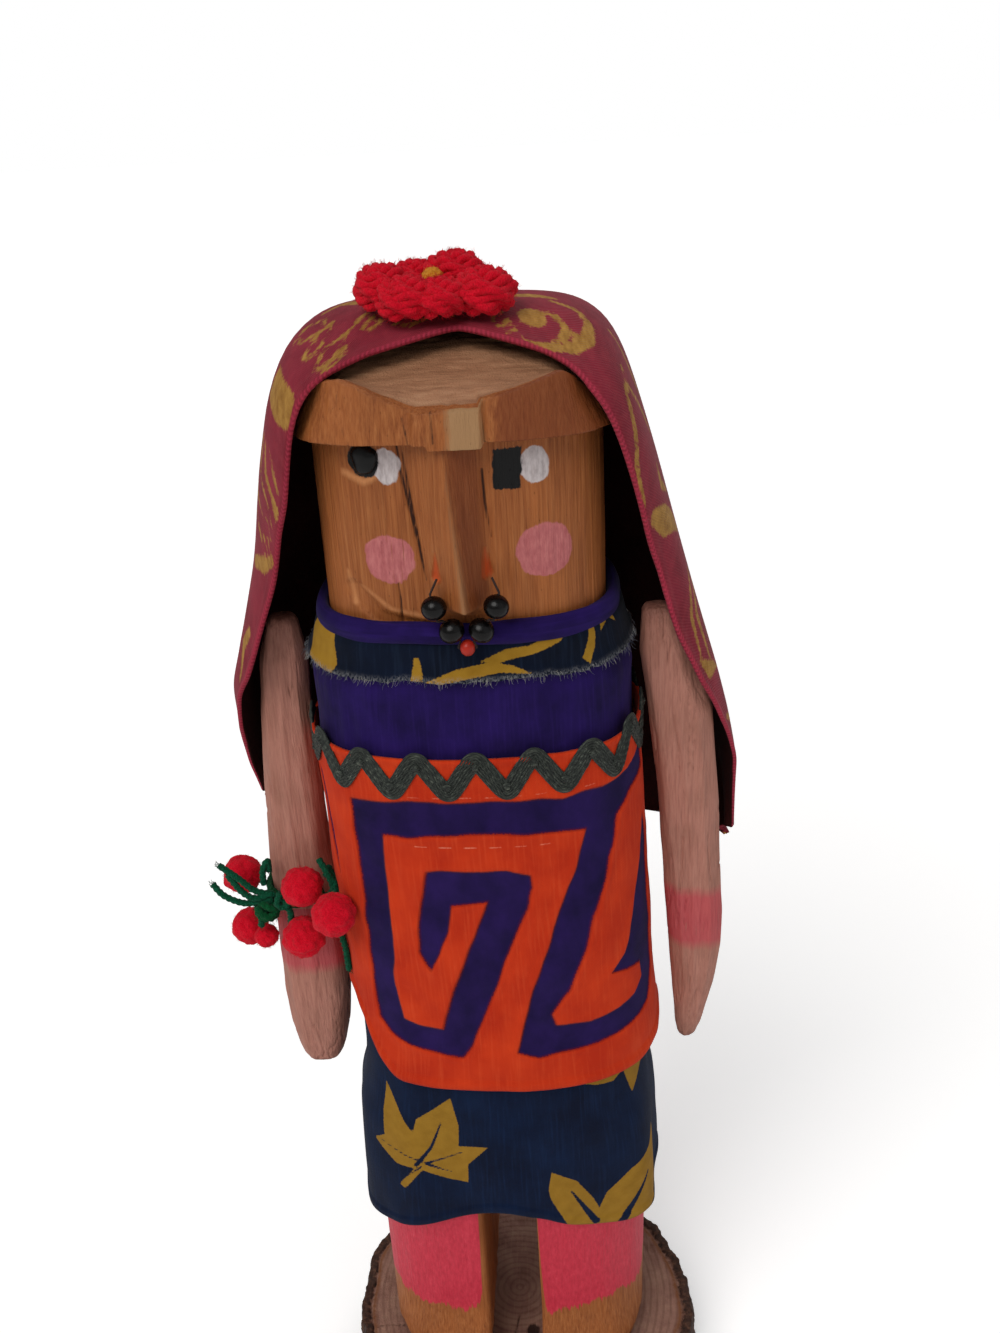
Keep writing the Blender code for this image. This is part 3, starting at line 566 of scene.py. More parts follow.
def carved_finish():
    """Knife-cut varnished softwood with upright grain, painted eyes, cheeks and stockings, and painted shade
    on the right-hand facets of the nose and brow block.
    """
    made = Finish("carved_wood", Specular_IOR_Level=0.24)
    grain = made.grain((0.45, 0.6, 16), 5.0, 0.62, 0.25)
    broad = made.grain((5, 6, 60), 3.0, 0.5, 0.4)
    streak = made.grain((0.8, 0.9, 30), 3.0, 0.7)
    fleck = made.cells((0.9, 0.9, 3.2))
    mottled = made.grain((7, 7, 9), 4.0, 0.6)
    colour = made.ramp(grain, (0.25, (118, 60, 26)), (0.48, (154, 88, 44)), (0.75, (178, 112, 62)))
    colour = made.mix(made.step(broad, 0.42, 0.7, 0.0, 0.5), colour, (178, 104, 52))
    colour = made.mix(made.step(streak, 0.60, 0.74, 0.0, 0.4), colour, (86, 42, 18))
    colour = made.mix(made.step(fleck, 0.0, 0.10, 0.55, 0.0), colour, (58, 28, 14))
    colour = made.mix(made.step(mottled, 0.5, 0.8, 0.0, 0.35), colour, (120, 66, 34))
    saw = made.grain((9.0, 1.0, 4.0), 4.0, 0.7, turn=(0, 0, 0.5))
    pale = made.ramp(saw, (0.3, (142, 98, 70)), (0.55, (172, 124, 92)), (0.8, (190, 146, 112)))
    colour = made.mix(made.inside("sawn", 0.9, mottled, 1.5), colour, pale)
    colour = made.mix(made.inside("pared", 0.8, grain, 1.6), colour, (168, 128, 88))
    # painted shade: the right-hand facets of the nose and brow block are darkened
    colour = made.mix(made.times(made.inside("tint", 1.2, grain, 1.6), 0.65), colour, (112, 50, 22))
    colour = made.mix(made.times(made.inside("fresh", 0.5, grain, 1.0), 0.8), colour, (206, 140, 88))
    colour = made.mix(made.inside("crack", 0.14, streak, 0.35), colour, (52, 24, 12))
    colour = made.mix(made.times(made.inside("stain", 0.5, grain, 0.8), 0.85), colour, (196, 76, 26))
    brush = made.grain((0.8, 0.8, 2.2), 4.0, 0.6)
    stocking = made.ramp(brush, (0.3, (190, 42, 62)), (0.6, (208, 54, 74)), (0.85, (218, 76, 92)))
    coral = made.times(made.inside("coral", 0.35, streak, 4.0), made.step(streak, 0.70, 0.74, 1.0, 0.25))
    colour = made.mix(coral, colour, stocking)
    rosy = made.ramp(brush, (0.3, (172, 90, 92)), (0.6, (194, 112, 112)), (0.85, (206, 130, 126)))
    blush = made.times(made.inside("blush", 0.16, brush, 0.7), made.step(streak, 0.64, 0.70, 1.0, 0.35))
    colour = made.mix(blush, colour, rosy)
    chalk = made.ramp(brush, (0.3, (170, 158, 158)), (0.6, (206, 196, 196)), (0.85, (222, 214, 212)))
    colour = made.mix(made.inside("white", 0.14, brush, 0.5), colour, chalk)
    ink = made.inside("black", 0.14, brush, 0.6)
    colour = made.mix(ink, colour, (3, 3, 4))
    rough = made.step(grain, 0.3, 0.7, 0.62, 0.44)
    rough = made.sum("SUBTRACT", rough, made.times(ink, 0.26))
    made.lift(grain, 0.24)
    made.lift(streak, 0.14)
    made.lift(made.step(fleck, 0.0, 0.12), 0.12)
    return made.done(colour, rough)


def arm_finish():
    """Dusty pink paint rubbed thin over wood: faint grain, a few chips and a brighter band."""
    made = Finish("painted_wood", Specular_IOR_Level=0.3)
    grain = made.grain((0.5, 0.5, 9), 5.0, 0.62, 0.2)
    streak = made.grain((0.45, 0.45, 7), 3.0, 0.7)
    patchy = made.grain((6, 6, 13), 5.0, 0.65)
    chips = made.grain((1.5, 1.5, 2.6), 4.0, 0.75)
    colour = made.ramp(grain, (0.3, (158, 104, 90)), (0.5, (180, 122, 106)), (0.72, (190, 134, 117)))
    colour = made.mix(made.step(patchy, 0.42, 0.72, 0.0, 0.6), colour, (148, 98, 80))
    colour = made.mix(made.step(streak, 0.66, 0.74, 0.0, 0.3), colour, (96, 54, 44))
    colour = made.mix(made.step(chips, 0.74, 0.77, 0.0, 0.8), colour, (198, 156, 134))
    coral = made.ramp(grain, (0.3, (180, 62, 72)), (0.7, (200, 86, 90)))
    worn = made.step(streak, 0.62, 0.72, 0.88, 0.4)
    band = made.times(made.inside("coral", 1.6, patchy, 2.2), worn)
    colour = made.mix(band, colour, coral)
    # darker towards both ends of the arm
    darker_ends = made.times(made.inside("edge", 2.0, chips, 7.0), 0.6)
    colour = made.mix(darker_ends, colour, (92, 48, 38))
    made.lift(grain, 0.2)
    made.lift(streak, 0.16)
    made.lift(chips, 0.12)
    return made.done(colour, made.step(patchy, 0.3, 0.7, 0.72, 0.55))


def slice_finish():
    """Sawn face with growth rings and radial checks, dark layered bark round it."""
    made = Finish("slice_wood", Specular_IOR_Level=0.3)
    rings = made.node("TexWave", {"Vector": made.place((1, 1, 400)), "Scale": 0.16, "Distortion": 1.6,
                                  "Detail": 3.0,
                                  "Detail Scale": 0.5}, wave_type="RINGS", rings_direction="Z").outputs["Fac"]
    mottled = made.grain((9, 9, 9), 5.0, 0.65)
    saw = made.grain((0.7, 14, 8), 4.0, 0.7, turn=(0, 0, 0.7))
    top = made.ramp(mottled, (0.3, (112, 76, 64)), (0.5, (142, 104, 90)), (0.75, (166, 128, 108)))
    top = made.mix(made.step(rings, 0.55, 0.9, 0.0, 0.35), top, (96, 60, 48))
    top = made.mix(made.step(saw, 0.5, 0.75, 0.0, 0.4), top, (172, 136, 116))
    top = made.mix(made.inside("check", 0.25, saw, 0.5), top, (50, 26, 18))
    crust = made.grain((1.6, 1.6, 3.6), 6.0, 0.7)
    bark = made.ramp(crust, (0.3, (30, 17, 12)), (0.5, (62, 38, 28)), (0.72, (104, 72, 54)))
    bast = made.inside("bast", 0.5, crust, 1.0)
    top = made.mix(bast, top, (120, 74, 46))
    colour = made.mix(made.inside("bark", 0.4, crust, 1.4), top, bark)
    made.lift(saw, 0.25)
    made.lift(crust, 0.5)
    return made.done(colour, made.step(mottled, 0.3, 0.7, 0.85, 0.62))


def leaf_finish():
    made, base = cotton("leaf_cotton", (10, 30, 62), (5, 16, 40), (26, 52, 92), 0.5)
    ragged = made.slub((0.5, 0.5), 3.0)
    gold = made.mix(made.slub((3, 3), 4.0), (132, 96, 26), (166, 124, 42))
    leaf = made.inside("print", 0.1, ragged, 0.3)
    colour = made.mix(leaf, base, gold)
    return made.done(colour)


def collar_finish():
    made, base = cotton("collar_cotton", (10, 22, 44), (5, 12, 26), (40, 56, 80), 0.45)
    ragged = made.slub((0.5, 0.5), 3.0)
    gold = made.mix(made.slub((3, 3), 4.0), (140, 100, 24), (172, 132, 44))
    colour = made.mix(made.inside("print", 0.1, ragged, 0.4), base, gold)
    fray = made.slub((0.35, 0.7), 4.0, 0.7)
    ghost = made.times(made.inside("fray", 1.1, fray, 2.2), made.step(fray, 0.46, 0.62))
    colour = made.mix(ghost, colour, (168, 168, 172))
    return made.done(colour)


def mola_finish():
    """Orange cotton laid over indigo: the maze is cut through, its edges turned under and sewn."""
    made, orange = cotton("mola_cotton", (216, 64, 24), (186, 44, 16), (232, 96, 52), 0.46)
    slow = made.slub((10, 14), 4.0, 0.6)
    indigo = made.mix(made.step(slow, 0.3, 0.7), (22, 11, 56), (40, 22, 84))
    ragged = made.slub((0.45, 0.45), 3.0)
    maze = made.mark("maze")
    edge = made.sum("ABSOLUTE", maze)
    colour = made.mix(made.inside("maze", 0.1, ragged, 0.35), orange, indigo)
    shadow = made.step(edge, 0.0, 0.55, 0.55, 0.0)
    colour = made.mix(shadow, colour, (92, 12, 22))
    stitch = made.inside("basting", 0.12, ragged, 0.2)
    colour = made.mix(made.times(stitch, 0.7), colour, (238, 148, 120))
    made.lift(made.step(maze, -0.25, 0.35), 0.35)
    return made.done(colour)


def scarf_finish():
    """Wine-red printed cotton twill with gold sprays."""
    made = Finish("scarf_cotton", Sheen_Weight=0.04, Sheen_Roughness=0.4, Specular_IOR_Level=0.2,
                  Roughness=0.78)
    twill = made.bands(made.cut(turn=0.9), 0.55, "X", 0.4)
    slow = made.slub((12, 16), 4.0, 0.6)
    worn = made.slub((2.2, 3.5), 4.0, 0.6)
    wine = made.mix(made.step(slow, 0.3, 0.7), (112, 22, 38), (146, 38, 58))
    wine = made.mix(made.step(worn, 0.45, 0.75, 0.0, 0.45), wine, (160, 50, 62))
    wine = made.mix(made.step(twill, 0.2, 0.9, 0.0, 0.16), wine, (172, 66, 76))
    ragged = made.slub((0.8, 0.8), 3.0)
    gold = made.mix(made.step(worn, 0.3, 0.7), (142, 96, 36), (186, 140, 66))
    colour = made.mix(made.inside("print", 0.25, ragged, 0.8), wine, gold)
    dots = made.step(made.bands(made.cut(), 1.1, "X", 0.8), 0.45, 0.6)
    hem = made.times(made.inside("hem", 0.25, ragged, 0.5), made.step(dots, 0.0, 1.0, 0.2, 0.7))
    colour = made.mix(hem, colour, (184, 54, 78))
    made.lift(twill, 0.07)
    return made.done(colour)


def lining_painted_shade_finish():
    """The scarf's wrong side: the same cotton, where the dye shows as a dull dark red, darkened to near black
    as painted shade for the shadow inside the scarf.
    """
    made = Finish("scarf_lining_painted_shade", Specular_IOR_Level=0.1, Roughness=0.95)
    slow = made.grain((10, 10, 14), 4.0, 0.6)
    thread = made.grain((0.5, 0.5, 0.5), 3.0, 0.7)
    # painted shade: near-black reds stand in for the shadow inside the scarf
    colour = made.mix(made.step(slow, 0.3, 0.7), (26, 9, 9), (48, 17, 16))
    colour = made.mix(made.step(thread, 0.4, 0.7, 0.0, 0.4), colour, (62, 26, 22))
    made.lift(thread, 0.08)
    return made.done(colour)


def plain_cotton(name, colour, dark, light):
    made, base = cotton(name, colour, dark, light)
    return made.done(base)


def yarn_finish(name, colour, dark, light):
    """Spun acrylic yarn: fine fibres wound round the strand, soft sheen, and painted shade darkening the
    hollows.
    """
    made = Finish(name, Sheen_Weight=0.06, Sheen_Roughness=0.45, Specular_IOR_Level=0.1, Roughness=0.95)
    fibre = made.grain((0.16, 0.16, 0.9), 4.0, 0.7, turn=(0.5, 0.3, 0.0))
    tufts = made.grain((0.5, 0.5, 0.5), 3.0, 0.6)
    base = made.ramp(fibre, (0.3, dark), (0.5, colour), (0.75, light))
    # painted shade: darker in the hollows between tufts
    base = made.mix(made.step(tufts, 0.3, 0.7, 0.35, 0.0), base, dark)
    made.lift(fibre, 0.18)
    made.lift(tufts, 0.25)
    return made.done(base)


def braid_finish():
    made = Finish("rickrack_braid", Sheen_Weight=0.04, Specular_IOR_Level=0.3, Roughness=0.66)
    strand = made.bands(made.cut((1, 1, 1), 0.6), 0.45, "Y", 0.5)
    heather = made.slub((0.9, 0.35), 3.0, 0.8)
    colour = made.ramp(heather, (0.3, (18, 22, 20)), (0.5, (44, 50, 45)), (0.62, (76, 82, 73)),
                       (0.76, (134, 138, 124)))
    # painted shade: darker in the grooves between the braid's strands
    colour = made.mix(made.step(strand, 0.0, 0.5, 0.5, 0.0), colour, (20, 22, 22))
    made.lift(strand, 0.12)
    return made.done(colour)


def glass_finish(name, colour, deep, rough):
    made = Finish(name, Specular_IOR_Level=0.22, Coat_Weight=0.08, Coat_Roughness=0.04, Roughness=rough)
    cloud = made.grain((1.2, 1.2, 1.2), 4.0, 0.6)
    scratch = made.grain((0.15, 0.9, 0.9), 3.0)
    made.lift(scratch, 0.03)
    return made.done(made.mix(cloud, deep, colour), made.step(cloud, 0.2, 0.8, rough, rough + 0.12))


# Camera, light and floor
def aim(thing, place, right, upward, forward):
    """Puts a camera or lamp at a place, looking along forward."""
    columns = Matrix([list(right), list(upward), [-value for value in forward]]).transposed()
    thing.matrix_world = Matrix.Translation(Vector(place)) @ columns.to_4x4()


def look_from(place, target):
    """Right, up and forward of something at place that faces target, with Z up."""
    forward = unit(np.asarray(target, float) - np.asarray(place, float))
    right = unit(np.cross(forward, (0.0, 0.0, 1.0)))
    return right, np.cross(right, forward), forward


def make_camera():
    """The photograph's view: 25 degrees down, 4 degrees round and 3 degrees rolled."""
    yaw, pitch, roll = np.radians((4.0, 25.0, -3.14))
    right = np.array((np.cos(yaw), np.sin(yaw), 0.0))
    ahead = np.array((-np.sin(yaw) * np.cos(pitch), np.cos(yaw) * np.cos(pitch), -np.sin(pitch)))
    upward = np.cross(right, ahead)
    rolled = np.cos(roll) * right + np.sin(roll) * upward
    upright = np.cos(roll) * upward - np.sin(roll) * right
    lens = bpy.data.cameras.new("camera")
    lens.lens, lens.sensor_width, lens.clip_start = 32.41, 36.0, 0.01
    camera = bpy.data.objects.new("camera", lens)
    bpy.context.scene.collection.objects.link(camera)
    aim(camera, (0.02208, -0.25408, 0.3486), rolled, upright, ahead)
    bpy.context.scene.camera = camera


def make_light():
    """A wide soft window up to the left and front, a weak fill, and a white studio behind."""
    world = bpy.data.worlds.new("room")
    bpy.context.scene.world = world
    world.use_nodes = True
    nodes, links = world.node_tree.nodes, world.node_tree.links
    ambient = nodes["Background"]
    ambient.inputs["Color"].default_value = (1.0, 0.99, 0.98, 1.0)
    ambient.inputs["Strength"].default_value = 0.24
    white = nodes.new("ShaderNodeBackground")
    white.inputs["Color"].default_value = (1.0, 1.0, 1.0, 1.0)
    seen = nodes.new("ShaderNodeLightPath")
    either = nodes.new("ShaderNodeMixShader")
    links.new(seen.outputs["Is Camera Ray"], either.inputs["Fac"])
    links.new(ambient.outputs["Background"], either.inputs[1])
    links.new(white.outputs["Background"], either.inputs[2])
    links.new(either.outputs["Shader"], nodes["World Output"].inputs["Surface"])
    lamps = (
        ("window", (-0.52, -0.90, 1.10), 40.0, 1.55, (1.0, 0.985, 0.96)),
        ("fill", (0.90, -0.80, 0.55), 60.0, 0.22, (0.96, 0.98, 1.0)),
        ("rim", (0.30, 1.10, 1.20), 50.0, 0.55, (1.0, 1.0, 1.0)),
    )
    for name, place, spread, power, colour in lamps:
        lamp = bpy.data.lights.new(name, "SUN")
        lamp.angle, lamp.energy, lamp.color = np.radians(spread), power, colour
        made = bpy.data.objects.new(name, lamp)
        bpy.context.scene.collection.objects.link(made)
        aim(made, place, *look_from(place, (0.0, 0.0, 0.0)))
    bpy.context.scene.view_settings.view_transform = "Standard"


def make_floor():
    """A sheet of white paper that the doll stands on."""
    made = Finish("paper", Roughness=0.9, Specular_IOR_Level=0.0)
    tooth = made.grain((3, 3, 3), 3.0)
    mesh = bpy.data.meshes.new("floor")
    half = 12.0
    corners = [(-half, -half), (half, -half), (half, half), (-half, half)]
    mesh.from_pydata([(*corner, -0.0002) for corner in corners], [], [(0, 1, 2, 3)])
    glow = made.node("LightPath").outputs["Is Camera Ray"]
    made.shader.inputs["Emission Color"].default_value = (1.0, 1.0, 1.0, 1.0)
    made.tree.links.new(made.times(glow, 0.32), made.shader.inputs["Emission Strength"])
    mesh.materials.append(made.done(made.mix(tooth, (255, 255, 255), (252, 252, 253))))
    floor = bpy.data.objects.new("floor", mesh)
    bpy.context.scene.collection.objects.link(floor)


# Wood
def make_slice():
    """The slice: rings of points from the top's middle out over the bark and in underneath."""
    columns = 620
    turn = full_turn(columns)[None]
    swell = np.sin(5 * turn + 0.6) + 0.7 * np.sin(11 * turn + 2.1) + 0.5 * np.sin(17 * turn + 4.0)
    rim = SLICE_RADIUS + 0.55 * BARK_LUMP * swell + 0.8 * BARK_LUMP * np.cos(2 * turn + 1.0)
    top_shares = np.concatenate([np.linspace(0.06, 0.90, 30), np.linspace(0.91, 0.985, 12)])
    side = np.linspace(0.0, 1.0, 46)
    bulge = 0.9 * np.sin(np.pi * side) ** 0.5
    rows = [(share, 0.0, SLICE_TOP) for share in top_shares]
    rows += [(0.99, 0.35 + b, SLICE_TOP * (1 - s)) for s, b in zip(side, bulge)]
    rows += [(share, 0.0, 0.0) for share in (0.96, 0.8, 0.5, 0.2)]
    share, extra, height = (np.array(column)[:, None] for column in zip(*rows))
    x, y = np.cos(turn), np.sin(turn)
    spot = np.stack(np.broadcast_arrays(rim * x, rim * y, height), axis=-1)
    crust = (lumps(spot, (3.4, 3.4, 7.0), 3) + 0.7 * lumps(spot, (1.3, 1.3, 2.6), 5)
             + 0.3 * lumps(spot, 0.7, 8))
    barky = fade(share * rim, rim - BARK_THICKNESS - 0.4, rim - BARK_THICKNESS + 0.5)
    reach = share * rim + extra + barky * 0.55 * crust
    level = height + np.where(height > 9.0, 1, 0) * barky * 0.35 * np.abs(crust)
    level = np.where(height < 0.5, 0.0, level)
    groove = np.exp(-((share * rim - rim + BARK_THICKNESS) / 0.35) ** 2) * (height > 17.0)
    place = np.stack(np.broadcast_arrays(reach * x, reach * y, level), axis=-1)
    sawn = (height > 17.0) * (1 - barky)
    level = level - 0.7 * groove * (1 + 0.5 * lumps_at(4.0, 2, rim * x, rim * y))
    level = level + sawn * (0.10 * lumps(place, (2.0, 30.0, 9.0), 21) + 0.12 * lumps(place, 9.0, 22))
    flat = np.hypot(reach * x, reach * y)
    angle = np.broadcast_to(turn, flat.shape)
    check = np.full(flat.shape, FAR)
    for where, start, end in ((0.55, 12.0, 46.0), (2.25, 20.0, 47.0), (3.4, 26.0, 46.0), (4.55, 5.0, 22.0),
                              (5.5, 22.0, 47.0)):
        bend = 0.05 * np.sin(flat / 7.0 + where * 5)
        sideways = np.abs(flat * np.sin(angle - where - bend)) + 60.0 * (np.cos(angle - where) < 0)
        taper = 0.45 * (1 - fade(flat, start, end) * 0.3) - 0.3
        check = np.minimum(check, np.maximum(sideways - taper, np.maximum(start - flat, flat - end)))
    pith = np.hypot(reach * x - 3.0, reach * y + 10.0) - 2.0
    check = np.minimum(check, pith)
    level = level - sawn * 0.6 * (1 - fade(check, -0.4, 0.5))
    points = np.stack([SLICE_SIDE + reach * x, reach * y - SLICE_FORWARD, level], axis=-1)
    bark = np.where(height > 17.5, (rim - BARK_THICKNESS) - share * rim, -3.0)
    bark = np.where((height < 0.5) & (share < 0.95), 3.0, bark)
    bast = np.abs(share * rim - rim + BARK_THICKNESS + 0.9) - 0.5 + FAR * (height < 17.5)
    part = capped(points, bark=bark, bast=bast, check=np.where(height > 17.0, check, FAR))
    piece("wood_slice", [part], slice_finish(), ["wood_slice_base"])


def nose_profile(up):
    """How far the nose stands out at a height: thin at the neckline, full at the tip."""
    return NOSE_HEIGHT * np.interp(up, (NECKLINE_UP, NOSE_TIP_UP - 3.0, NOSE_TIP_UP, BRIM_UP),
                                   (0.02, 0.12, 1.0, 0.55))


def carve(points, seed):
    """Knife facets and upright grain, as a push along the outward direction from the log's axis."""
    cell = np.abs(lumps(points, (7.0, 7.0, 24.0), seed))
    push = 0.35 * (0.5 - cell) + 0.10 * lumps(points, (0.9, 0.9, 14.0), seed + 1)
    push = push + 0.06 * lumps(points, (0.5, 0.5, 5.0), seed + 2)
    return points + push[..., None] * outward(points)


CRACKS = (
    (((-12.2, 291.0), (-11.5, 283.0), (-10.1, 275.0), (-8.8, 266.0), (-8.2, 261.0)), (0.22, 0.3, 0.12)),
    (((-11.2, 290.0), (-10.4, 281.0), (-9.3, 272.0), (-8.4, 264.0)), (0.1, 0.28, 0.1)),
    (((4.5, 284.0), (4.8, 277.0), (5.6, 270.0)), (0.2, 0.25, 0.05)),
    (((-14.4, 262.0), (-13.9, 257.0), (-14.1, 251.0)), (0.05, 0.18, 0.25)),
    (((-16.8, 269.0), (-16.6, 264.0), (-16.9, 260.0)), (0.03, 0.1, 0.03)),
)
NOSTRILS = (
    (((-5.7, 268.0), (-5.8, 262.5)), (0.1, 1.1)),
    (((4.2, 268.0), (4.5, 262.5)), (0.1, 1.1)),
)
CHIN = (((-24.0, 258.0), (-19.0, 252.5), (-10.0, 250.5), (-4.0, 250.0)), (2.0, 1.6, 1.0))
FRESH_CUTS = (
    (((-23.5, 283.5), (-19.5, 281.8), (-16.5, 283.0)), (0.5, 0.7, 0.3)),
    (((-25.0, 262.0), (-24.0, 255.0)), (0.2, 0.5)),
    (((-22.0, 259.0), (-16.0, 254.5), (-9.0, 253.0)), (0.2, 0.3)),
)
BRIM_CRACKS = (
    (((-4.3, 298.5), (-4.2, 291.0)), (0.12, 0.2)),
    (((-10.0, 295.5), (-8.8, 289.0)), (0.15, 0.1)),
)


def make_head():
    """Log, face and nose as one tube, the brow block as a second closed form let into it."""
    front = np.linspace(-0.5, 0.5, 274) * 1.16 * np.pi
    back = np.linspace(0.58, 1.42, 62)[1:-1] * np.pi
    turn = np.concatenate([front, back])[None]
    ups = np.concatenate([np.linspace(LEG_TOP_UP - 1.0, NECKLINE_UP - 8.0, 14)[:-1],
                          np.linspace(NECKLINE_UP - 8.0, BRIM_UP + 5.0, 138)])[:, None]
    width, depth, power, sway = log_size(ups)
    width = np.where(ups > NECKLINE_UP, FACE_HALF_WIDTH, width)
    depth = np.where(ups > NECKLINE_UP, FACE_HALF_DEPTH, depth)
    power = np.where(ups > NECKLINE_UP, FACE_POWER, power)
    sway = np.where(ups > NECKLINE_UP, HEAD_SWAY, sway)
    reach = squircle(turn, width, depth, depth, power)
    x, y = sway + reach * np.sin(turn), -reach * np.cos(turn)
    points = np.stack(np.broadcast_arrays(x, y, SLICE_TOP + ups), axis=-1)
    points = carve(points, 31)
    x, z = points[..., 0], points[..., 2]
    ridge = np.interp(z, (250.0, 256.5, 290.0), (0.2, 0.0, -2.9))
    reach_left = np.interp(z, (250.0, 256.5, 290.0), (8.2, 8.0, 8.7))
    reach_right = np.interp(z, (250.0, 256.5, 290.0), (5.6, 5.0, 7.3))
    wedge = np.clip(1.0 - np.where(x < ridge, (ridge - x) / reach_left, (x - ridge) / reach_right), 0.0, 1.0)
    wedge = wedge * (points[..., 1] < 0) * (z > 247.0)
    points[..., 1] -= nose_profile(z - SLICE_TOP) * np.minimum(wedge, 0.965)
    facing = (points[..., 1] < -8.0) * (z > 246.0)
    cracks = np.where(facing, nearest_stroke(x, z, CRACKS), FAR)
    nostrils = nearest_stroke(x, z, NOSTRILS)
    points[..., 1] += facing * (0.5 * (1 - fade(cracks, -0.2, 0.35)) + (1 - fade(nostrils, -0.8, 0.5)))
    chin = line_depth(x, z, *CHIN)
    points[..., 1] += facing * 0.8 * (1 - fade(chin, -1.0, 0.8))
    wobble = 0.35 * lumps_at(2.2, 40, x, z)
    white = np.minimum(
        np.hypot((x + 14.4) / 2.7, (z - 284.9) / 3.7) * 3.0 - 3.0,
        np.hypot((x - 14.9) / 3.1, (z - 284.1) / 3.7) * 3.3 - 3.3,
    )
    white = np.minimum(white, line_depth(x, z, [(-17.6, 286.7), (-17.9, 283.7)], (0.6, 0.6)))
    black = np.maximum(np.abs(x - 9.4 - 0.05 * (z - 284)) - 2.8, np.abs(z - 283.9) - 4.0)
    black = np.minimum(black, np.hypot(x + 19.2, (z - 286.3) * 0.85) - 3.1)
    blush = np.minimum(np.hypot(x + 15.6, z - 265.6) - 5.3, np.hypot(x - 16.3, z - 266.2) - 5.8)
    fresh = nearest_stroke(x, z, FRESH_CUTS)
    pared = np.abs(x - ridge - 0.1) - 0.45 + 0.03 * (z - 256)
    pared = np.where(z > 256.0, pared, FAR)
    # painted shade: marks the nose's right-hand facet above its tip
    tint = np.maximum(ridge + 0.3 - x, x - ridge - reach_right + 0.2)
    tint = np.maximum(tint, 256.5 - z)
    out = {"white": white + wobble, "black": black + wobble, "blush": blush + wobble, "crack": cracks,
           "fresh": fresh, "pared": pared, "tint": tint, "stain": nostrils + 0.2}
    out = {name: np.where(facing, value, FAR) for name, value in out.items()}
    face = capped(points, **out)
    piece_parts = [face, brim_patch(), *leg_patches()]
    piece("carved_doll", piece_parts, carved_finish(), ["carved_body"])


def brim_patch():
    """The brow block: a thick slab wider than the face, its top sawn off on a slope."""
    turn = np.concatenate([np.linspace(-0.5, 0.5, 280) * 1.1 * np.pi,
                           np.linspace(0.55, 1.45, 70)[1:-1] * np.pi])[None]
    low = BRIM_UP + SLICE_TOP
    front = -np.cos(turn) < 0
    x_edge = squircle(turn, BRIM_HALF_WIDTH, BRIM_HALF_DEPTH, 0.86 * BRIM_HALF_DEPTH, 3.2) * np.sin(turn)
    block = fade(x_edge, -4.0, -2.6) * (1 - fade(x_edge, 6.4, 7.4)) * front
    lower = low - fade(block, 0.0, 0.4)
    facet_x = (-33.0, -29.0, -23.0, -18.0, -6.6, 7.2, 7.6, 25.2, 28.0, 33.0)
    facet_up = (8.0, 10.8, 12.0, 10.6, 5.8, 6.2, 7.6, 11.9, 10.2, 6.0)
    upper = low + np.interp(x_edge, facet_x, facet_up)
    upper = np.where(front, upper, low + BRIM_HEIGHT + 1.0)
    share_under = (0.30, 0.62, 0.90)
    steps = np.linspace(0.0, 1.0, 34)[:, None]
    top_shares = np.linspace(0.97, 0.05, 30)[:, None]
    edge = squircle(turn, BRIM_HALF_WIDTH, BRIM_HALF_DEPTH, 0.86 * BRIM_HALF_DEPTH, 3.2)
    pared_in = squircle(turn, 0.88 * BRIM_HALF_WIDTH, 0.955 * BRIM_HALF_DEPTH, 0.80 * BRIM_HALF_DEPTH, 3.0)
    side = edge + (pared_in - edge) * steps ** 1.15
    z_side = lower + (upper - lower) * steps
    y_top = -pared_in * top_shares * np.cos(turn)
    plane = low + BRIM_HEIGHT - 1.0 + CROWN_RISE * fade(y_top, -1.15 * BRIM_HALF_DEPTH,
                                                        0.35 * BRIM_HALF_DEPTH)
    closeness = fade(top_shares, 0.72, 1.0)
    z_top = plane * (1 - closeness) + (upper + 0.25) * closeness
    reach = np.vstack([np.outer(share_under, edge[0]), side, top_shares * pared_in])
    height = np.vstack([np.broadcast_to(lower, (3, lower.shape[1])), z_side, z_top])
    points = np.stack(np.broadcast_arrays(HEAD_SWAY + reach * np.sin(turn), -reach * np.cos(turn), height),
                      axis=-1)
    rows_side = np.arange(len(points))[:, None]
    on_side = ((rows_side >= 2) & (rows_side < 38)).astype(float)
    push = 0.30 * lumps(points, (5.0, 5.0, 9.0), 61) + 0.14 * lumps(points, (0.9, 0.9, 12.0), 62)
    points = points + (on_side * push)[..., None] * outward(points)
    x = points[..., 0]
    notch = np.exp(-((x - 5.5) / 0.3) ** 2) * on_side * (points[..., 1] < 0)
    points[..., 1] += 0.9 * notch
    bulge = fade(x, -8.8, -8.0) * (1 - fade(x, 5.0, 5.5)) * on_side * (points[..., 1] < 0)
    points[..., 1] -= 1.2 * bulge
    on_top = (rows_side >= 37).astype(float)
    points[..., 2] += on_top * (0.22 * lumps(points, (7.0, 1.4, 5.0), 63)
                                + 0.16 * lumps(points, (1.3, 1.3, 1.3), 64))
    sawn = np.where(rows_side > 38, -2.0, 3.0)
    pared = np.where(on_side > 0, np.abs(x - 2.0) - 3.3, FAR)
    pared = np.where(points[..., 1] < 0, pared, FAR)
    # painted shade: marks the brow block's sides right of x = 8 mm
    tint = np.where(on_side > 0, 8.0 - x, FAR)
    z = points[..., 2]
    crack = nearest_stroke(x, z, BRIM_CRACKS)
    crack = np.where((on_side > 0) & (points[..., 1] < 0), crack, FAR)
    return capped(points, sawn=sawn, pared=pared, tint=tint, crack=crack)


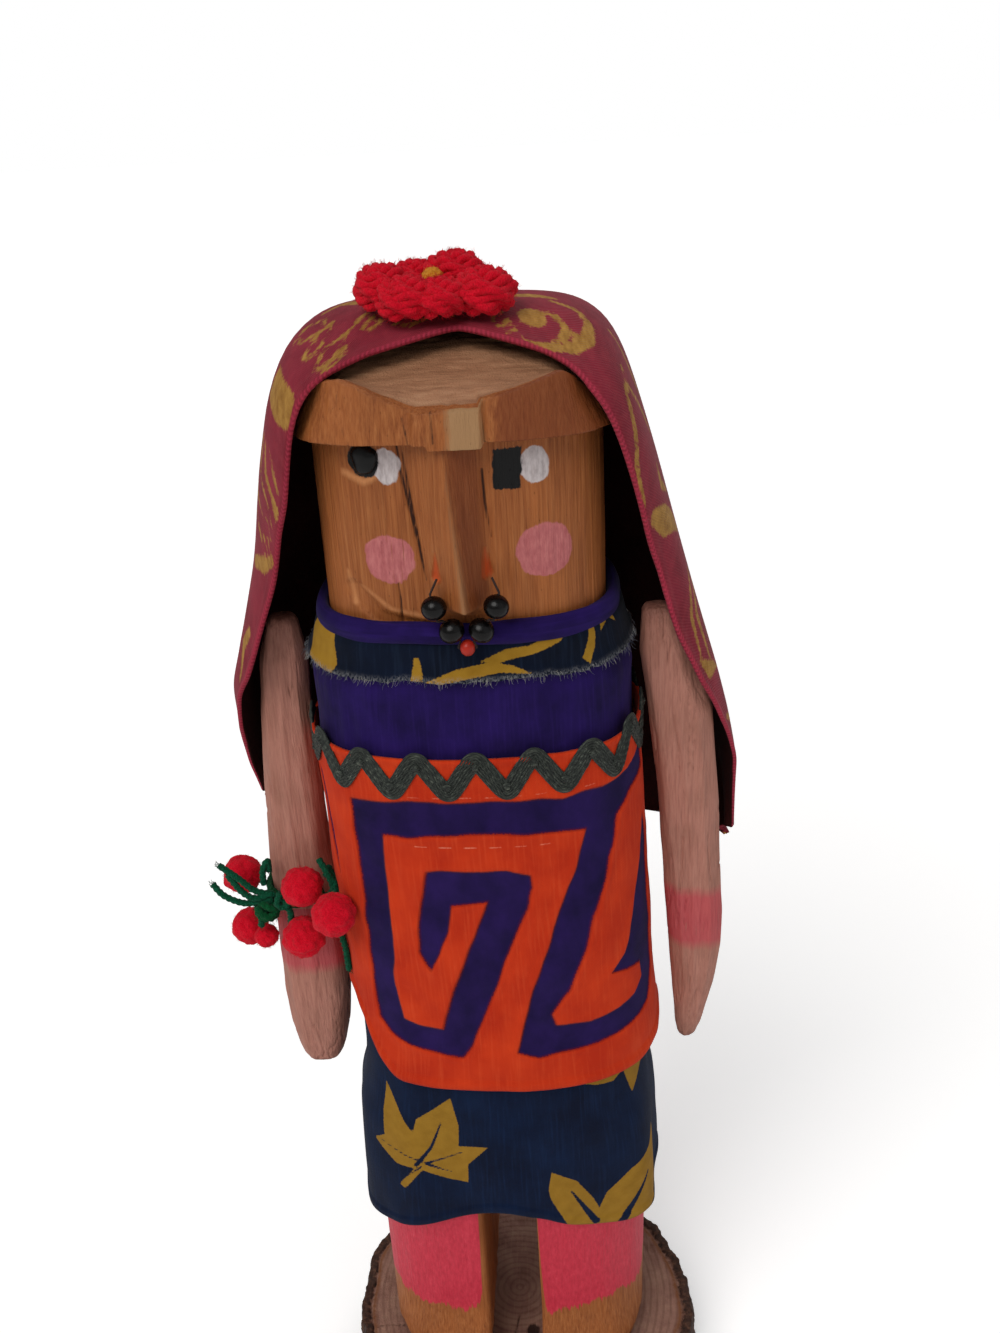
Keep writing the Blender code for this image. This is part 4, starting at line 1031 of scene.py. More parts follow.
def leg_patches():
    """Two legs: the log's outline cut off by the slot between them, found by halving along rays."""
    made = []
    for side in (-1.0, 1.0):
        inner = LEG_GAP_SIDE + side * 0.5 * LEG_GAP
        middle = side * 0.5 * (BODY_HALF_WIDTH + 0.5 * LEG_GAP)
        turn = full_turn(124, -np.pi)[None]
        ups = np.concatenate([np.linspace(0.3, 30.0, 50), np.linspace(30.0, LEG_TOP_UP + 4.0, 44)[1:]])[:,
                                                                                                        None]
        width, depth, power, sway = log_size(ups)
        near, far = np.zeros((len(ups), turn.shape[1])), np.full((len(ups), turn.shape[1]), 60.0)
        for _ in range(26):
            reach = 0.5 * (near + far)
            x, y = middle + reach * np.sin(turn), -reach * np.cos(turn)
            log = np.abs((x - sway) / width) ** power + np.abs(y / depth) ** power
            slot = 1.0 + 0.05 * side * (inner - x)
            outside = np.maximum(log, slot) > 1.0
            near, far = np.where(outside, near, reach), np.where(outside, reach, far)
        taper = 1.0 - 0.10 * (1 - fade(ups, 0.0, 9.0))
        x, y = middle + near * taper * np.sin(turn), -near * taper * np.cos(turn)
        toe = TOE_REACH * (1.0 - fade(ups, 0.3 * TOE_UP, 2.0 * TOE_UP))
        y = y - toe * np.clip(-y / BODY_HALF_DEPTH, 0.0, 1.0)
        points = np.stack(np.broadcast_arrays(x, y, SLICE_TOP + ups), axis=-1)
        push = (0.5 * (0.5 - np.abs(lumps(points, (6.0, 6.0, 20.0), 71)))
                + 0.12 * lumps(points, (0.9, 0.9, 12.0), 72))
        knife = 0.8 * np.abs(lumps(points, (4.0, 4.0, 9.0), 73)) * (1 - fade(points[..., 2], 22.0, 34.0))
        points = points + (push - knife)[..., None] * outward(points - (middle, 0.0, 0.0))
        inner_face = np.abs(points[..., 0] - inner) < 1.3
        coral = 41.0 + 2.5 * lumps_at(5.0, 74, points[..., 0], points[..., 1]) - points[..., 2]
        coral = np.where(inner_face, 5.0, coral)
        made.append(capped(points, coral=coral))
    return made


def make_arms():
    """Each arm: its solid's rings smoothed and refined, cut with facets and cracks, and narrowed at both
    ends.
    """
    finish = arm_finish()
    for node, seed in (("arm_right", 81), ("arm_left", 91)):
        height, mid_x, mid_y, half_x, half_y = arm_rings(node)
        part = np.concatenate([np.linspace(0.0, 0.04, 14)[:-1], np.linspace(0.04, 0.96, 250),
                               np.linspace(0.96, 1.0, 14)[1:]])
        level = height[0] + part * (height[-1] - height[0])
        from_end = np.minimum(level - height[0], height[-1] - level)
        shape = [smoothed(np.interp(level, height, row)[:, None], 6)
                 for row in (mid_x, mid_y, half_x, half_y)]
        turn = full_turn(132, -np.pi)[None]
        reach = squircle(turn, shape[2], shape[3], shape[3], ARM_POWER)
        facets = np.full(reach.shape, 2.0)
        for number in range(9):
            face_turn = -np.pi + number * 2 * np.pi / 9 + 0.25 * lumps_at(40.0, seed + number, level)[:, None]
            lean = np.cos(turn - face_turn)
            cut = 0.945 + 0.035 * lumps_at(26.0, seed + 20 + number, level)[:, None]
            facets = np.minimum(facets, np.where(lean > 0.3, cut / np.maximum(lean, 0.3), 9.0))
        reach = reach * np.minimum(facets, 1.0)
        cap = np.sqrt(np.clip(from_end / 1.5, 0.02, 1.0))[:, None]
        reach = reach * (0.74 + 0.26 * cap)
        x = shape[0] + reach * np.sin(turn)
        y = shape[1] - reach * np.cos(turn)
        points = np.stack(np.broadcast_arrays(x, y, level[:, None]), axis=-1)
        away = np.stack(np.broadcast_arrays(np.sin(turn), -np.cos(turn), 0 * level[:, None]), axis=-1)
        push = (0.10 * lumps(points, (0.9, 0.9, 10.0), seed + 40)
                + 0.16 * lumps(points, (3.0, 3.0, 8.0), seed + 41))
        slash = np.abs(lumps(points, (1.8, 1.8, 26.0), seed + 42))
        push = push - 0.35 * (1 - fade(slash, 0.0, 0.09)) * (lumps(points, (6, 6, 15.0), seed + 43) > 0.1)
        points = points + push[..., None] * away
        z = points[..., 2]
        if node == "arm_left":
            coral = np.abs(z - 160.7 + 0.12 * (points[..., 0] - 50.0)) - 8.3
        else:
            coral = np.where(z < 166.0, 147.0 - z, FAR)
        edge = np.minimum(z - height[0], FAR)
        edge = np.minimum(edge, 1.2 * (height[-1] - z) - 1.0)
        made = capped(points, coral=coral, edge=edge)
        piece("carved_" + node, [made], finish, [node])


# Clothes
def side_ease(turns, left, right):
    """Extra room at the torso's two sides, fading out towards the front and the back."""
    side = np.sin(turns)
    return np.where(side < 0, left, right) * fade(np.abs(side), 0.55, 1.0)


def cloth_grid(ups, grow, turns, arcs, length, fold):
    """A tube of cloth round the log: heights by turns, with its UV map in millimetres."""
    points = log_points(turns[None], ups, grow)
    points = points + fold[..., None] * outward(points)
    across = np.append(arcs, arcs[0] + length)[None]
    return points, across


LEAVES = (
    ((-31.4, 121), (-25.4, 111), (-23, 108), (-22.2, 112.5), (-13, 121.3), (-11.4, 112), (-11.8, 105),
     (-4, 105.8),
     (-9.6, 99), (-9.8, 92.6), (-14, 93.4), (-20.7, 96.2), (-25, 88.6), (-26.6, 89.4), (-22.6, 96.4),
     (-27.6, 96),
     (-32.3, 98.5), (-35, 100), (-31.2, 103.4), (-32, 111.4)),
    ((11.6, 96.6), (17.8, 92.5), (21.8, 85.2), (23.4, 80.8), (25.3, 85.8), (31, 91.4), (38.2, 95),
     (41.6, 98.6),
     (44, 84.6), (41.4, 76.5), (33.2, 72), (28.3, 70), (23.4, 70), (15.1, 77), (11.1, 87), (10.7, 90.5)),
    ((15.6, 127.4), (25.8, 131), (36, 134), (43, 131), (42.3, 122), (34.6, 115), (32.5, 123.9), (29.3, 121.7),
     (24.1, 122.8), (19.3, 125)),
)
VEINS = (
    (((-22.2, 97.5), (-18.6, 104), (-16.0, 112.4)), (0.55, 0.2)),
    (((-20.6, 99), (-27, 100.4), (-33, 101)), (0.3, 0.15)),
    (((-19.6, 98.4), (-13.7, 96.0)), (0.5, 0.15)), (((-20, 98.6), (-15, 101), (-10.8, 103.2)), (0.35, 0.15)),
    (((-21, 97.2), (-24.6, 93)), (0.25, 0.1)),
    (((16.3, 89.2), (22.3, 76.6)), (0.25, 1.0)), (((36, 87.6), (28.4, 74.6)), (0.25, 1.0)),
    (((24.1, 124), (30.6, 126), (36, 131)), (0.2, 0.5)),
)
HEM_ARCS = (-62, -50, -41, -31, -24, -15, -8, -4, 0, 4, 9, 15, 22, 28, 36, 42, 50, 62)
HEM_HEIGHTS = (74.5, 72.5, 70.2, 73, 75.6, 79, 82, 84, 84.8, 83, 80, 77.6, 75.7, 74.4, 74, 72.4, 73, 75)


MAZE = (
    (-29, 208), (-14, 209.6), (4, 210), (20, 209.2), (30, 209.8), (38, 211), (46, 214), (46.5, 208),
    (38, 205), (33.5, 201),
    (30, 188), (26.3, 177), (23, 166.5), (18.3, 156), (14, 149.5), (15, 146), (23, 145), (31, 146.3),
    (36, 147.8), (39.6, 150.5),
    (39, 155.8), (34, 156.2), (29.6, 157.5), (33.6, 161), (36, 168), (41, 181), (44.5, 196), (48, 186),
    (46, 168), (45.3, 150),
    (41.5, 142.4), (35, 140), (29, 139), (21, 138), (10, 137), (5, 138.6), (10, 157), (16, 174),
    (22, 190.5), (25, 200.2),
    (14, 201), (-2, 201.6), (-22, 200), (-22.3, 189), (-23, 172), (-24, 157), (-22.8, 146.5), (-18, 145.3),
    (-13, 144.8),
    (-9, 157), (-3, 172), (1.2, 183), (-7.4, 182), (-9, 174.5), (-11.3, 168), (-13.8, 163), (-16.2, 168),
    (-15.2, 177),
    (-14, 184), (-12, 191.3), (-9, 191.8), (6, 191.3), (11, 189.6), (11.6, 186.5), (10, 181), (5, 170),
    (0.2, 156), (-6, 141),
    (-8, 137.4), (-16, 138), (-23, 139.6), (-27, 141.4), (-30, 145), (-30.2, 158), (-30, 173), (-29.2, 190),
)
SLIVER = ((-45, 213), (-40.6, 210), (-38.6, 190), (-37.6, 184), (-41.2, 196), (-43, 205))


def both_sides(arcs, length):
    """Arc from the front's middle, or on the back half from the back's middle, mirrored."""
    return np.where(np.abs(arcs) > 0.25 * length, np.sign(arcs) * 0.5 * length - arcs, arcs)


def make_skirt():
    """Leaf-printed skirt: smooth under the bodice, falling in shallow waves to a turned hem."""
    turns, arcs, length = even_turns(SKIRT_OUT, 0.46, 1.1)
    part = np.linspace(0.0, 1.0, 132)[:, None]
    arc = arcs[None]
    hem = np.interp(arc, HEM_ARCS, HEM_HEIGHTS)
    for _ in range(40):
        hem = 0.25 * np.roll(hem, 1) + 0.5 * hem + 0.25 * np.roll(hem, -1)
    hem = hem + 0.3 * lumps_at(9.0, 101, arc)
    ups = hem - SLICE_TOP + part * (158.0 - hem)
    drop = 1.0 - fade(ups + SLICE_TOP, 80.0, 128.0)
    folds = (1.1 * np.sin(arc * 2 * np.pi * 7 / length + 0.8)
             + 0.7 * np.sin(arc * 2 * np.pi * 11 / length + 2.2))
    folds = folds + 0.5 * lumps_at((16.0, 30.0, 1.0), 102, arc, ups)
    ease = side_ease(turns, 2.1, 1.3)[None] * fade(drop, 0.0, 0.5)
    flare = 1.9 * drop + ease + drop * folds * 0.7 + 0.25 * lumps_at((5.0, 9.0, 1.0), 103, arc, ups)
    thick = 0.35 * (1 - fade(ups + SLICE_TOP - hem, 2.2, 2.6))
    points, across = cloth_grid(ups, SKIRT_OUT, turns, arcs, length, np.maximum(flare, -0.3) + thick)
    along = np.hstack([ups, ups[:, :1]]) + SLICE_TOP
    z = ups + SLICE_TOP
    place = np.broadcast_to(both_sides(arc, length), z.shape)
    shown = np.maximum(nearest_outline(place, z, LEAVES), -nearest_stroke(place, z, VEINS))
    made = patch(points, around=True, across=across, along=along, print=shown)
    made = piece("leaf_skirt", [made], leaf_finish(), ["skirt"], flip=False)
    walled(made, 0.6)


def make_mola():
    """The cut-through panel as a tube: orange over indigo, raised where the orange lies."""
    turns, arcs, length = even_turns(MOLA_OUT, 0.46, 1.25)
    arc = arcs[None]
    place = both_sides(arc, length)
    hem = (MOLA_HEM + 20.0 * fade(-arc, 23.0, 42.0) * (1 - fade(-arc, 48.0, 66.0))
           + 2.6 * fade(arc, 34.0, 50.0) * (1 - fade(arc, 56.0, 66.0)))
    hem = hem + 0.35 * lumps_at(7.0, 111, arc)
    part = np.linspace(0.0, 1.0, 138)[:, None]
    ups = hem - SLICE_TOP + part * (MOLA_TOP - hem)
    z = ups + SLICE_TOP
    place = np.broadcast_to(place, z.shape)
    warped_x = place + 0.35 * lumps_at(5.0, 112, place, z)
    warped_z = z + 0.35 * lumps_at(5.0, 113, place, z)
    maze = nearest_outline(warped_x, warped_z, (MAZE, SLIVER))
    front = np.abs(arc) < 0.25 * length
    stitches = [(((where, height), (where + 2.6, height + 0.1)), (0.16, 0.16))
                for height, start, end in ((198.2, -14.0, 16.0), (211.2, -14.0, 30.0))
                for where in np.arange(start, end, 5.6)]
    basting = np.where(front, nearest_stroke(place, z, stitches), FAR)
    relief = 0.38 * fade(maze, -0.35, 0.45) + 0.14 * np.exp(-((maze - 1.1) / 0.7) ** 2)
    puff = 0.5 * lumps_at((14.0, 20.0, 1.0), 114, arc, z) + 0.22 * lumps_at((4.0, 5.0, 1.0), 115, arc, z)
    edge = 0.45 * (1 - fade(z - hem, 1.9, 2.3)) + 0.35 * fade(z, MOLA_TOP - 1.6, MOLA_TOP - 1.2)
    flare = 1.4 * (1 - fade(z, MOLA_HEM, 150.0))
    flare = flare + side_ease(turns, 0.7, 0.8)[None]
    points, across = cloth_grid(ups, MOLA_OUT, turns, arcs, length, relief + puff + edge + flare)
    along = np.hstack([z, z[:, :1]])
    made = patch(points, around=True, across=across, along=along, maze=maze, basting=basting)
    made = piece("mola_bodice", [made], mola_finish(), ["mola_panel"], flip=False)
    walled(made, CLOTH)


def make_yoke():
    """The indigo yoke between the maze's band and the collar, lightly puckered."""
    turns, arcs, length = even_turns(YOKE_OUT, 0.6, 1.2)
    part = np.linspace(0.0, 1.0, 84)[:, None]
    z = 208.0 + part * (YOKE_TOP - 208.0) + 0.0 * arcs[None]
    arc = np.broadcast_to(arcs[None], z.shape)
    pucker = 0.45 * lumps_at((9.0, 14.0, 1.0), 121, arc, z) + 0.25 * lumps_at((2.2, 9.0, 1.0), 122, arc, z)
    ease = side_ease(turns, 1.1, 0.5)[None]
    points, across = cloth_grid(z - SLICE_TOP, YOKE_OUT, turns, arcs, length, 0.3 + ease + pucker)
    along = np.hstack([z, z[:, :1]])
    made = patch(points, around=True, across=across, along=along)
    indigo = plain_cotton("indigo_cotton", (42, 22, 98), (24, 11, 62), (60, 38, 122))
    made = piece("indigo_yoke", [made], indigo, ["blouse"], flip=False)
    walled(made, 0.6)
    return indigo


COLLAR_GOLD = (
    ((-43, 246), (-41, 250), (-36, 250), (-31, 249), (-29.5, 241), (-31, 238.5), (-36, 239), (-41, 240)),
    ((-11.5, 239), (-10.6, 244.5), (-9.4, 244.5), (-8.6, 240), (-9, 238)),
    ((-8.5, 239), (-2, 241.5), (6, 243.2), (11, 242.2), (15, 240.2), (8, 240.8), (0, 239.4), (-5, 238.4)),
    ((4, 243.4), (10, 246), (15, 246.3), (20, 248.2), (26, 250), (22, 246.4), (17, 244.6), (11, 243.6),
     (7, 242.6)),
    ((27, 241.5), (29.5, 247.5), (31.5, 248.5), (30.4, 243), (28.5, 240)),
    ((33, 246), (35, 251), (38, 250.5), (40, 246), (37, 248)),
)


def make_collar(indigo):
    """Printed collar band with a frayed lower edge, and the rolled neck binding over its top."""
    turns, arcs, length = even_turns(COLLAR_OUT, 0.4, 0.9)
    part = np.linspace(0.0, 1.0, 40)[:, None]
    arc = np.broadcast_to(arcs[None], (40, len(arcs)))
    low = COLLAR_LOW + 0.5 * lumps_at(6.0, 131, arc) + 0.5 * lumps_at(0.9, 132, arc)
    z = low + part * (COLLAR_TOP - low)
    wave = 0.35 * lumps_at((7.0, 6.0, 1.0), 133, arc, z) + 0.5 * (1 - fade(part, 0.0, 0.3))
    wave = wave + side_ease(turns, 1.2, 0.8)[None] - 0.9 * fade(z, 246.0, 250.0)
    points, across = cloth_grid(z - SLICE_TOP, COLLAR_OUT, turns, arcs, length, wave)
    along = np.hstack([z, z[:, :1]])
    place = both_sides(arc, length)
    gold = nearest_outline(place, z, COLLAR_GOLD)
    made = patch(points, around=True, across=across, along=along, print=gold, fray=z - low - 0.6)
    made = piece("printed_collar", [made], collar_finish(), ["collar_band"], flip=False)
    walled(made, 0.6)
    random = np.random.default_rng(134)
    pick = random.integers(0, len(arcs), 620)
    roots = points[0][pick] + random.normal(size=(620, 3)) * (0.1, 0.1, 0.25) + (0, 0, 0.5)
    reach = random.uniform(0.5, 1.9, (620, 1))
    tips = (roots + outward(points[0][pick]) * reach * 0.35
            + random.normal(size=(620, 3)) * 0.35 - np.array((0, 0, 1.0)) * reach * 0.75)
    threads = Finish("frayed_thread", Roughness=0.9, Sheen_Weight=0.2, Specular_IOR_Level=0.2)
    tone = threads.grain((2.2, 2.2, 2.2), 2.0)
    threads = threads.done(threads.ramp(tone, (0.35, (30, 40, 62)), (0.5, (110, 112, 122)),
                                        (0.65, (176, 172, 164))))
    fray = piece("collar_fray", [hairs(roots, tips, 0.055, 0.18, 135)], threads)
    turn = full_turn(300, -np.pi)
    ring = log_points(turn, np.full(300, NECKLINE_UP - 0.6), 1.6)
    sag = 0.5 * np.cos(2 * turn) + 0.4 * lumps_at(0.5, 136, np.sin(turn), np.cos(turn))
    ring[:, 2] += sag
    roll = 1.75 + 0.3 * lumps_at(0.25, 137, np.sin(turn), np.cos(turn))
    coil = tube(ring, roll, 26, ring * (1, 1, 0), closed=True, flat=1.6, plies=5, twist=0.05, depth=0.10)
    away = np.linspace(0, length, 301)[:, None]
    span = np.linspace(0, 10.0, 27)[None]
    part = patch(coil, around=True, across=np.broadcast_to(span, (300, 27)),
                 along=np.broadcast_to(away[:300], (300, 27)))
    loop = patch(np.stack([coil[-1], coil[0]]), around=True, across=np.broadcast_to(span, (2, 27)),
                 along=np.broadcast_to(away[299:], (2, 27)))
    piece("rolled_binding", [joined_ring(part, loop, 300, 26)], indigo, ["neck_binding"])


def joined_ring(part, loop, rows, columns):
    """Adds the faces between a closed path's last and first rows to its patch."""
    first = np.arange(columns)
    last = first + (rows - 1) * columns
    bridge = np.stack([last, np.roll(last, -1), np.roll(first, -1), first], axis=-1)
    part["quads"] = np.vstack([part["quads"], bridge])
    if part["corners"] is not None:
        part["corners"] = np.vstack([part["corners"], loop["corners"]])
    return part


def make_rickrack():
    """Zigzag braid: a strap of seven cords, its middle line a rounded wave round the torso."""
    turns, arcs, length = even_turns(MOLA_OUT, 0.3, 0.3)
    along = np.linspace(-0.5, 0.5, 1300, endpoint=False) * length
    swing = np.arcsin(0.93 * np.sin(2 * np.pi * BRAID_WAVES * along / length + 0.9)) / np.arcsin(0.93)
    middle = BRAID_HEIGHT + BRAID_SWING * swing + 0.35 * lumps_at(20.0, 141, along)
    middle = middle + 1.6 * fade(np.abs(along), 26, 46)
    slope = np.gradient(middle, along)
    norm = np.hypot(1.0, slope)
    across = np.linspace(-1.0, 1.0, 29)[:, None]
    s = along[None] - across * BRAID_HALF * (slope / norm)[None]
    z = middle[None] + across * BRAID_HALF / norm[None]
    ridge = np.abs(np.sin(np.pi * 3.5 * (across + 1.0)))
    rise = (0.30 + 0.42 * ridge * np.sqrt(np.clip(1 - across ** 2, 0, 1))
            + 0.12 * lumps_at((0.7, 0.5, 1.0), 142, s, z))
    fine_turns = np.interp(s, np.append(arcs, arcs[0] + length), np.append(turns, turns[0] + 2 * np.pi))
    points = log_points(fine_turns, z - SLICE_TOP, MOLA_OUT + 1.0)
    rise = rise + side_ease(fine_turns, 0.7, 0.8)
    points = points + (rise - 0.6 + 0.5 * lumps_at((14.0, 20.0, 1.0), 114, s, z))[..., None] * outward(points)
    u = np.append(along, along[0] + length)[None]
    made = patch(points, around=True, across=u, along=np.broadcast_to(across * BRAID_HALF, (29, 1301)))
    made = piece("zigzag_braid", [made], braid_finish(), ["rickrack_trim"], flip=False)
    walled(made, 0.5)


# Headscarf
def scarf_profile(up):
    """Half width, front and back half depths, side shift and power of the draped bell at a height."""
    top = BRIM_UP + BRIM_HEIGHT + CROWN_RISE + SCARF_LIFT
    drop = np.clip(top - up, 0.0, None)
    drops = (0.0, 0.8, 2.5, 6.0, 11.0, 18.0, 33.0, 56.0, 85.0, 110.0, 130.0, 170.0)
    widths = (0.0, 0.35, 0.46, 0.55, 0.595, 0.63, 0.705, 0.80, 0.935, 0.98, 0.95, 0.86)
    fronts = (0.0, 0.18, 0.34, 0.60, 1.0, 1.03, 1.0, 0.97, 0.97, 1.0, 1.0, 1.0)
    backs = (0.0, 0.42, 0.68, 0.80, 0.86, 0.90, 0.92, 0.95, 0.99, 1.04, 1.10, 1.25)
    shifts = (-0.4, -0.6, -0.7, -0.75, -0.7, -0.65, -0.65, -0.5, -0.6, 0.1, 0.65, 0.65)
    power = np.interp(drop, (18.0, 50.0), (4.0, 2.4))
    rows = [np.interp(drop, drops, shares) for shares in (widths, fronts, backs, shifts)]
    sizes = (SCARF_HALF_WIDTH, SCARF_HALF_DEPTH, SCARF_HALF_DEPTH, SCARF_SHIFT)
    return [row * size for row, size in zip(rows, sizes)] + [power]


def scarf_outside(x, y, up):
    """Above 0 outside the scarf's bell, below 0 inside it."""
    width, front, back, shift, power = scarf_profile(up)
    behind = y - SCARF_CENTRE_BACK
    depth = np.where(behind < 0.0, front, back)
    level = np.abs((x - shift) / (width + 0.01)) ** power
    return level + np.abs(behind / (depth + 0.01)) ** power - 1.0


def make_scarf():
    """Arches of cloth swung from the front edge over the head and down the back, with folds."""
    rows, columns = 196, 236
    lean = np.linspace(-0.5 * np.pi + 0.0524, 0.5 * np.pi - 0.0524, columns)[None]
    part = np.linspace(0.0, 1.0, rows)[:, None]
    leans = (-90, -76, -60, -45, -34, -26, -20, -14, -8, 0, 8, 13, 28, 37, 48, 60, 76, 90)
    angles = (2, -6, -20, -21.5, -18, -16, -17, -15, -10, -6, -10, -14, -13, -16, -17, -14, -5, 4)
    front = np.interp(lean + SCARF_TILT, np.radians(leans), np.radians(angles))
    swing = front * (1 - part) + np.radians(112.0) * part
    upright = np.cos(lean) * np.cos(swing)
    x = np.sin(lean) * np.cos(SCARF_TILT) + upright * np.sin(SCARF_TILT)
    y, z = np.cos(lean) * np.sin(swing), upright * np.cos(SCARF_TILT) - np.sin(lean) * np.sin(SCARF_TILT)
    near, far = np.zeros(swing.shape), np.full(swing.shape, 250.0)
    for _ in range(34):
        reach = 0.5 * (near + far)
        outside = scarf_outside(reach * x, SCARF_CENTRE_BACK + reach * y, SCARF_CORNER - SLICE_TOP
                                + reach * z) > 0
        near, far = np.where(outside, near, reach), np.where(outside, reach, far)
    far = smoothed(smoothed(far, 8).T, 8).T
    degrees = np.degrees(lean) + 0.0 * part
    backwards = np.degrees(swing) + 0.0 * lean
    low = fade(np.abs(degrees), 30.0, 70.0)
    folds = 1.5 * low * np.sin(np.radians(backwards) * 6.5 + 1.3 * np.sign(degrees) + 0.02 * degrees)
    folds = folds + fade(backwards, 25, 80) * np.sin(np.radians(degrees) * 7.0 + 0.6)
    folds = folds + 0.5 * lumps_at((9.0, 14.0, 1.0), 151, backwards, degrees)
    far = far + 0.5 + 0.7 * folds * fade(part, 0.0, 0.10)
    hem_roll = 0.35 * (1 - fade(part * (112.0 + 8.0), 1.2, 1.5))
    dip = (1 - fade(part, 0.0, 0.14)) * (1 - fade(np.abs(degrees + 2.0), 22.0, 44.0))
    far = far + hem_roll - 1.1 * dip
    points = np.stack([far * x, SCARF_CENTRE_BACK + far * y, SCARF_CORNER + far * z], axis=-1)
    hop_down = np.linalg.norm(np.diff(points, axis=0), axis=2)
    back = np.vstack([np.zeros((1, columns)), np.cumsum(hop_down, axis=0)])
    hop_side = np.linalg.norm(np.diff(points, axis=1), axis=2)
    over = np.hstack([np.zeros((rows, 1)), np.cumsum(hop_side, axis=1)])
    over = over - over[:, columns // 2][:, None]
    shown = scarf_print(over, back, points)
    hem = np.minimum(back, 99.0) - 0.9
    made = patch(points, across=over, along=back, print=shown, hem=hem)
    made = piece("draped_scarf", [made], scarf_finish(), ["headscarf"], flip=False)
    wall = walled(made, SCARF_CLOTH).modifiers["wall"]
    # the inner face takes the lining, darkened with painted shade
    made.data.materials.append(lining_painted_shade_finish())
    wall.material_offset = 1


SPRAYS = (
    (((1.7, 14.6), (5.5, 14.4), (8.8, 11.3), (7.0, 6.0), (3.3, 1.8)), (0.4, 1.4, 0.4)),
    (((3.4, 21), (10.8, 22), (14.4, 18.7), (14.3, 13), (10.5, 6), (5, 1.6), (0, 1.0)), (0.5, 1.9, 0.5)),
    (((-7, 21), (-1, 23.5), (5, 24.0)), (1.2, 1.8, 0.8)),
    (((-8, 11), (-5, 6), (-1.5, 1.4)), (0.3, 0.8, 0.3)),
    (((-11, 9), (-8, 5), (-5, 1.4)), (0.3, 0.7, 0.3)),
    (((24, 15), (26.5, 9.5), (34, 6.3), (37.5, 2.6), (42.5, 1.4), (47, 1.2)), (0.8, 1.3, 0.6)),
    (((26.5, 12), (39.5, 20), (44, 22)), (0.5, 1.0, 0.5)),
    (((20, 26), (30, 24), (38, 27)), (0.6, 1.4, 0.6)),
    (((48, 14.8), (52, 13.5), (57, 19)), (0.7, 1.4, 0.6)),
    (((78.5, 19), (84.5, 10), (95.4, 7.7)), (0.6, 0.9, 0.5)),
    (((80, 22), (88, 16.4), (98.7, 13)), (0.6, 0.9, 0.5)),
    (((76, 16), (82, 7), (90, 4)), (0.6, 0.9, 0.5)),
    (((112, 3), (120, 7), (128, 5)), (0.6, 1.4, 0.5)),
    (((-46.6, 19.4), (-50.1, 17.2), (-52.8, 12), (-51.4, 9.5), (-48, 12.6), (-46.6, 19.4)), (0.6, 0.6)),
    (((-42.4, 12), (-47.4, 9.9), (-49.2, 4.6), (-47.5, 3), (-43.8, 6), (-42.4, 12)), (0.6, 0.6)),
    (((-41.5, 7.5), (-44.5, 4), (-46.8, 1.4), (-44.2, 1.4), (-41.6, 3.5), (-41.5, 7.5)), (0.55, 0.55)),
    (((-48.6, 22.6), (-54.1, 25.5), (-55.9, 21.7), (-53.7, 18.4), (-50.1, 17.6), (-48.6, 22.6)), (0.6, 0.6)),
    (((-50, 29), (-46, 33), (-41, 27), (-37, 24)), (1.0, 1.8, 0.8)),
    (((-40.3, 14.3), (-36.4, 8.8), (-34, 11), (-38.6, 17), (-40.3, 14.3)), (0.7, 0.7)),
    (((-34, 18), (-29, 15), (-24, 17)), (0.5, 1.3, 0.4)),
    (((-32, 9), (-27, 6), (-21, 8), (-17, 5)), (0.4, 1.1, 0.4)),
    (((-24, 13), (-18, 11), (-12, 14)), (0.5, 1.4, 0.5)),
    (((-72, 16), (-80, 14), (-81.5, 8), (-81.2, 1.2)), (0.5, 0.8, 0.4)),
    (((-71, 13.6), (-76.9, 10.2), (-78.5, 5), (-79.5, 1.4)), (0.5, 0.8, 0.4)),
    (((-70.4, 9.7), (-73.4, 5.9), (-76, 2.2)), (0.5, 0.8, 0.4)),
    (((-79, 18), (-88, 15), (-87.2, 8), (-84, 1.6)), (0.5, 0.8, 0.4)),
    (((-92.3, 14), (-94.3, 9), (-88.4, 2.4)), (0.5, 0.9, 0.4)),
    (((-105, 11.6), (-99.5, 6), (-93, 1.8)), (1.3, 1.7, 1.0)),
    (((-118, 4.9), (-124, 6.5), (-130, 2.5)), (1.0, 1.3, 0.5)),
)
PATCHES = (
    ((50.5, 4.5), (56, 12), (63, 18), (68, 19), (60, 6), (51, 1.3)),
    ((89.5, 2.5), (98, 8.8), (102, 10.5), (97, 3)),
    ((-60.1, 19.9), (-64.9, 18.6), (-63.2, 8.4), (-60.6, 1.1), (-55, 1.1), (-54.2, 3), (-57.5, 11.3)),
)


def scarf_print(over, back, points):
    """The photograph's gold figures over the front edge, and plain five-armed sprays behind, laid out
    by the angle round the head and the height, where the arches' own lengths would smear them."""
    around = 46.0 * np.arctan2(points[..., 0], points[..., 1] + 12.0)
    disc = np.hypot(over, back - 10.6) - 3.4
    shown = np.minimum(nearest_stroke(over, back, SPRAYS), nearest_outline(over, back, PATCHES))
    arms = []
    for step in range(48):
        column, row = step % 8, step // 8
        cx = -98.0 + 26.0 * column + 13.0 * (row % 2)
        cy = 294.0 - 24.0 * row
        for arm in range(5):
            turn = arm * 1.2566 + 0.7 * column + row
            tip = (cx + 9.5 * np.cos(turn), cy + 9.5 * np.sin(turn))
            bend = (cx + 5.0 * np.cos(turn + 0.35), cy + 5.0 * np.sin(turn + 0.35))
            arms.append((((cx, cy), bend, tip), (0.4, 1.7, 0.2)))
    behind = nearest_stroke(around, points[..., 2], arms)
    behind = behind + 6.0 * (1 - fade(back, 36.0, 40.0)) + 6.0 * fade(points[..., 2], 303.0, 306.0)
    return np.minimum(np.minimum(shown, disc), behind)


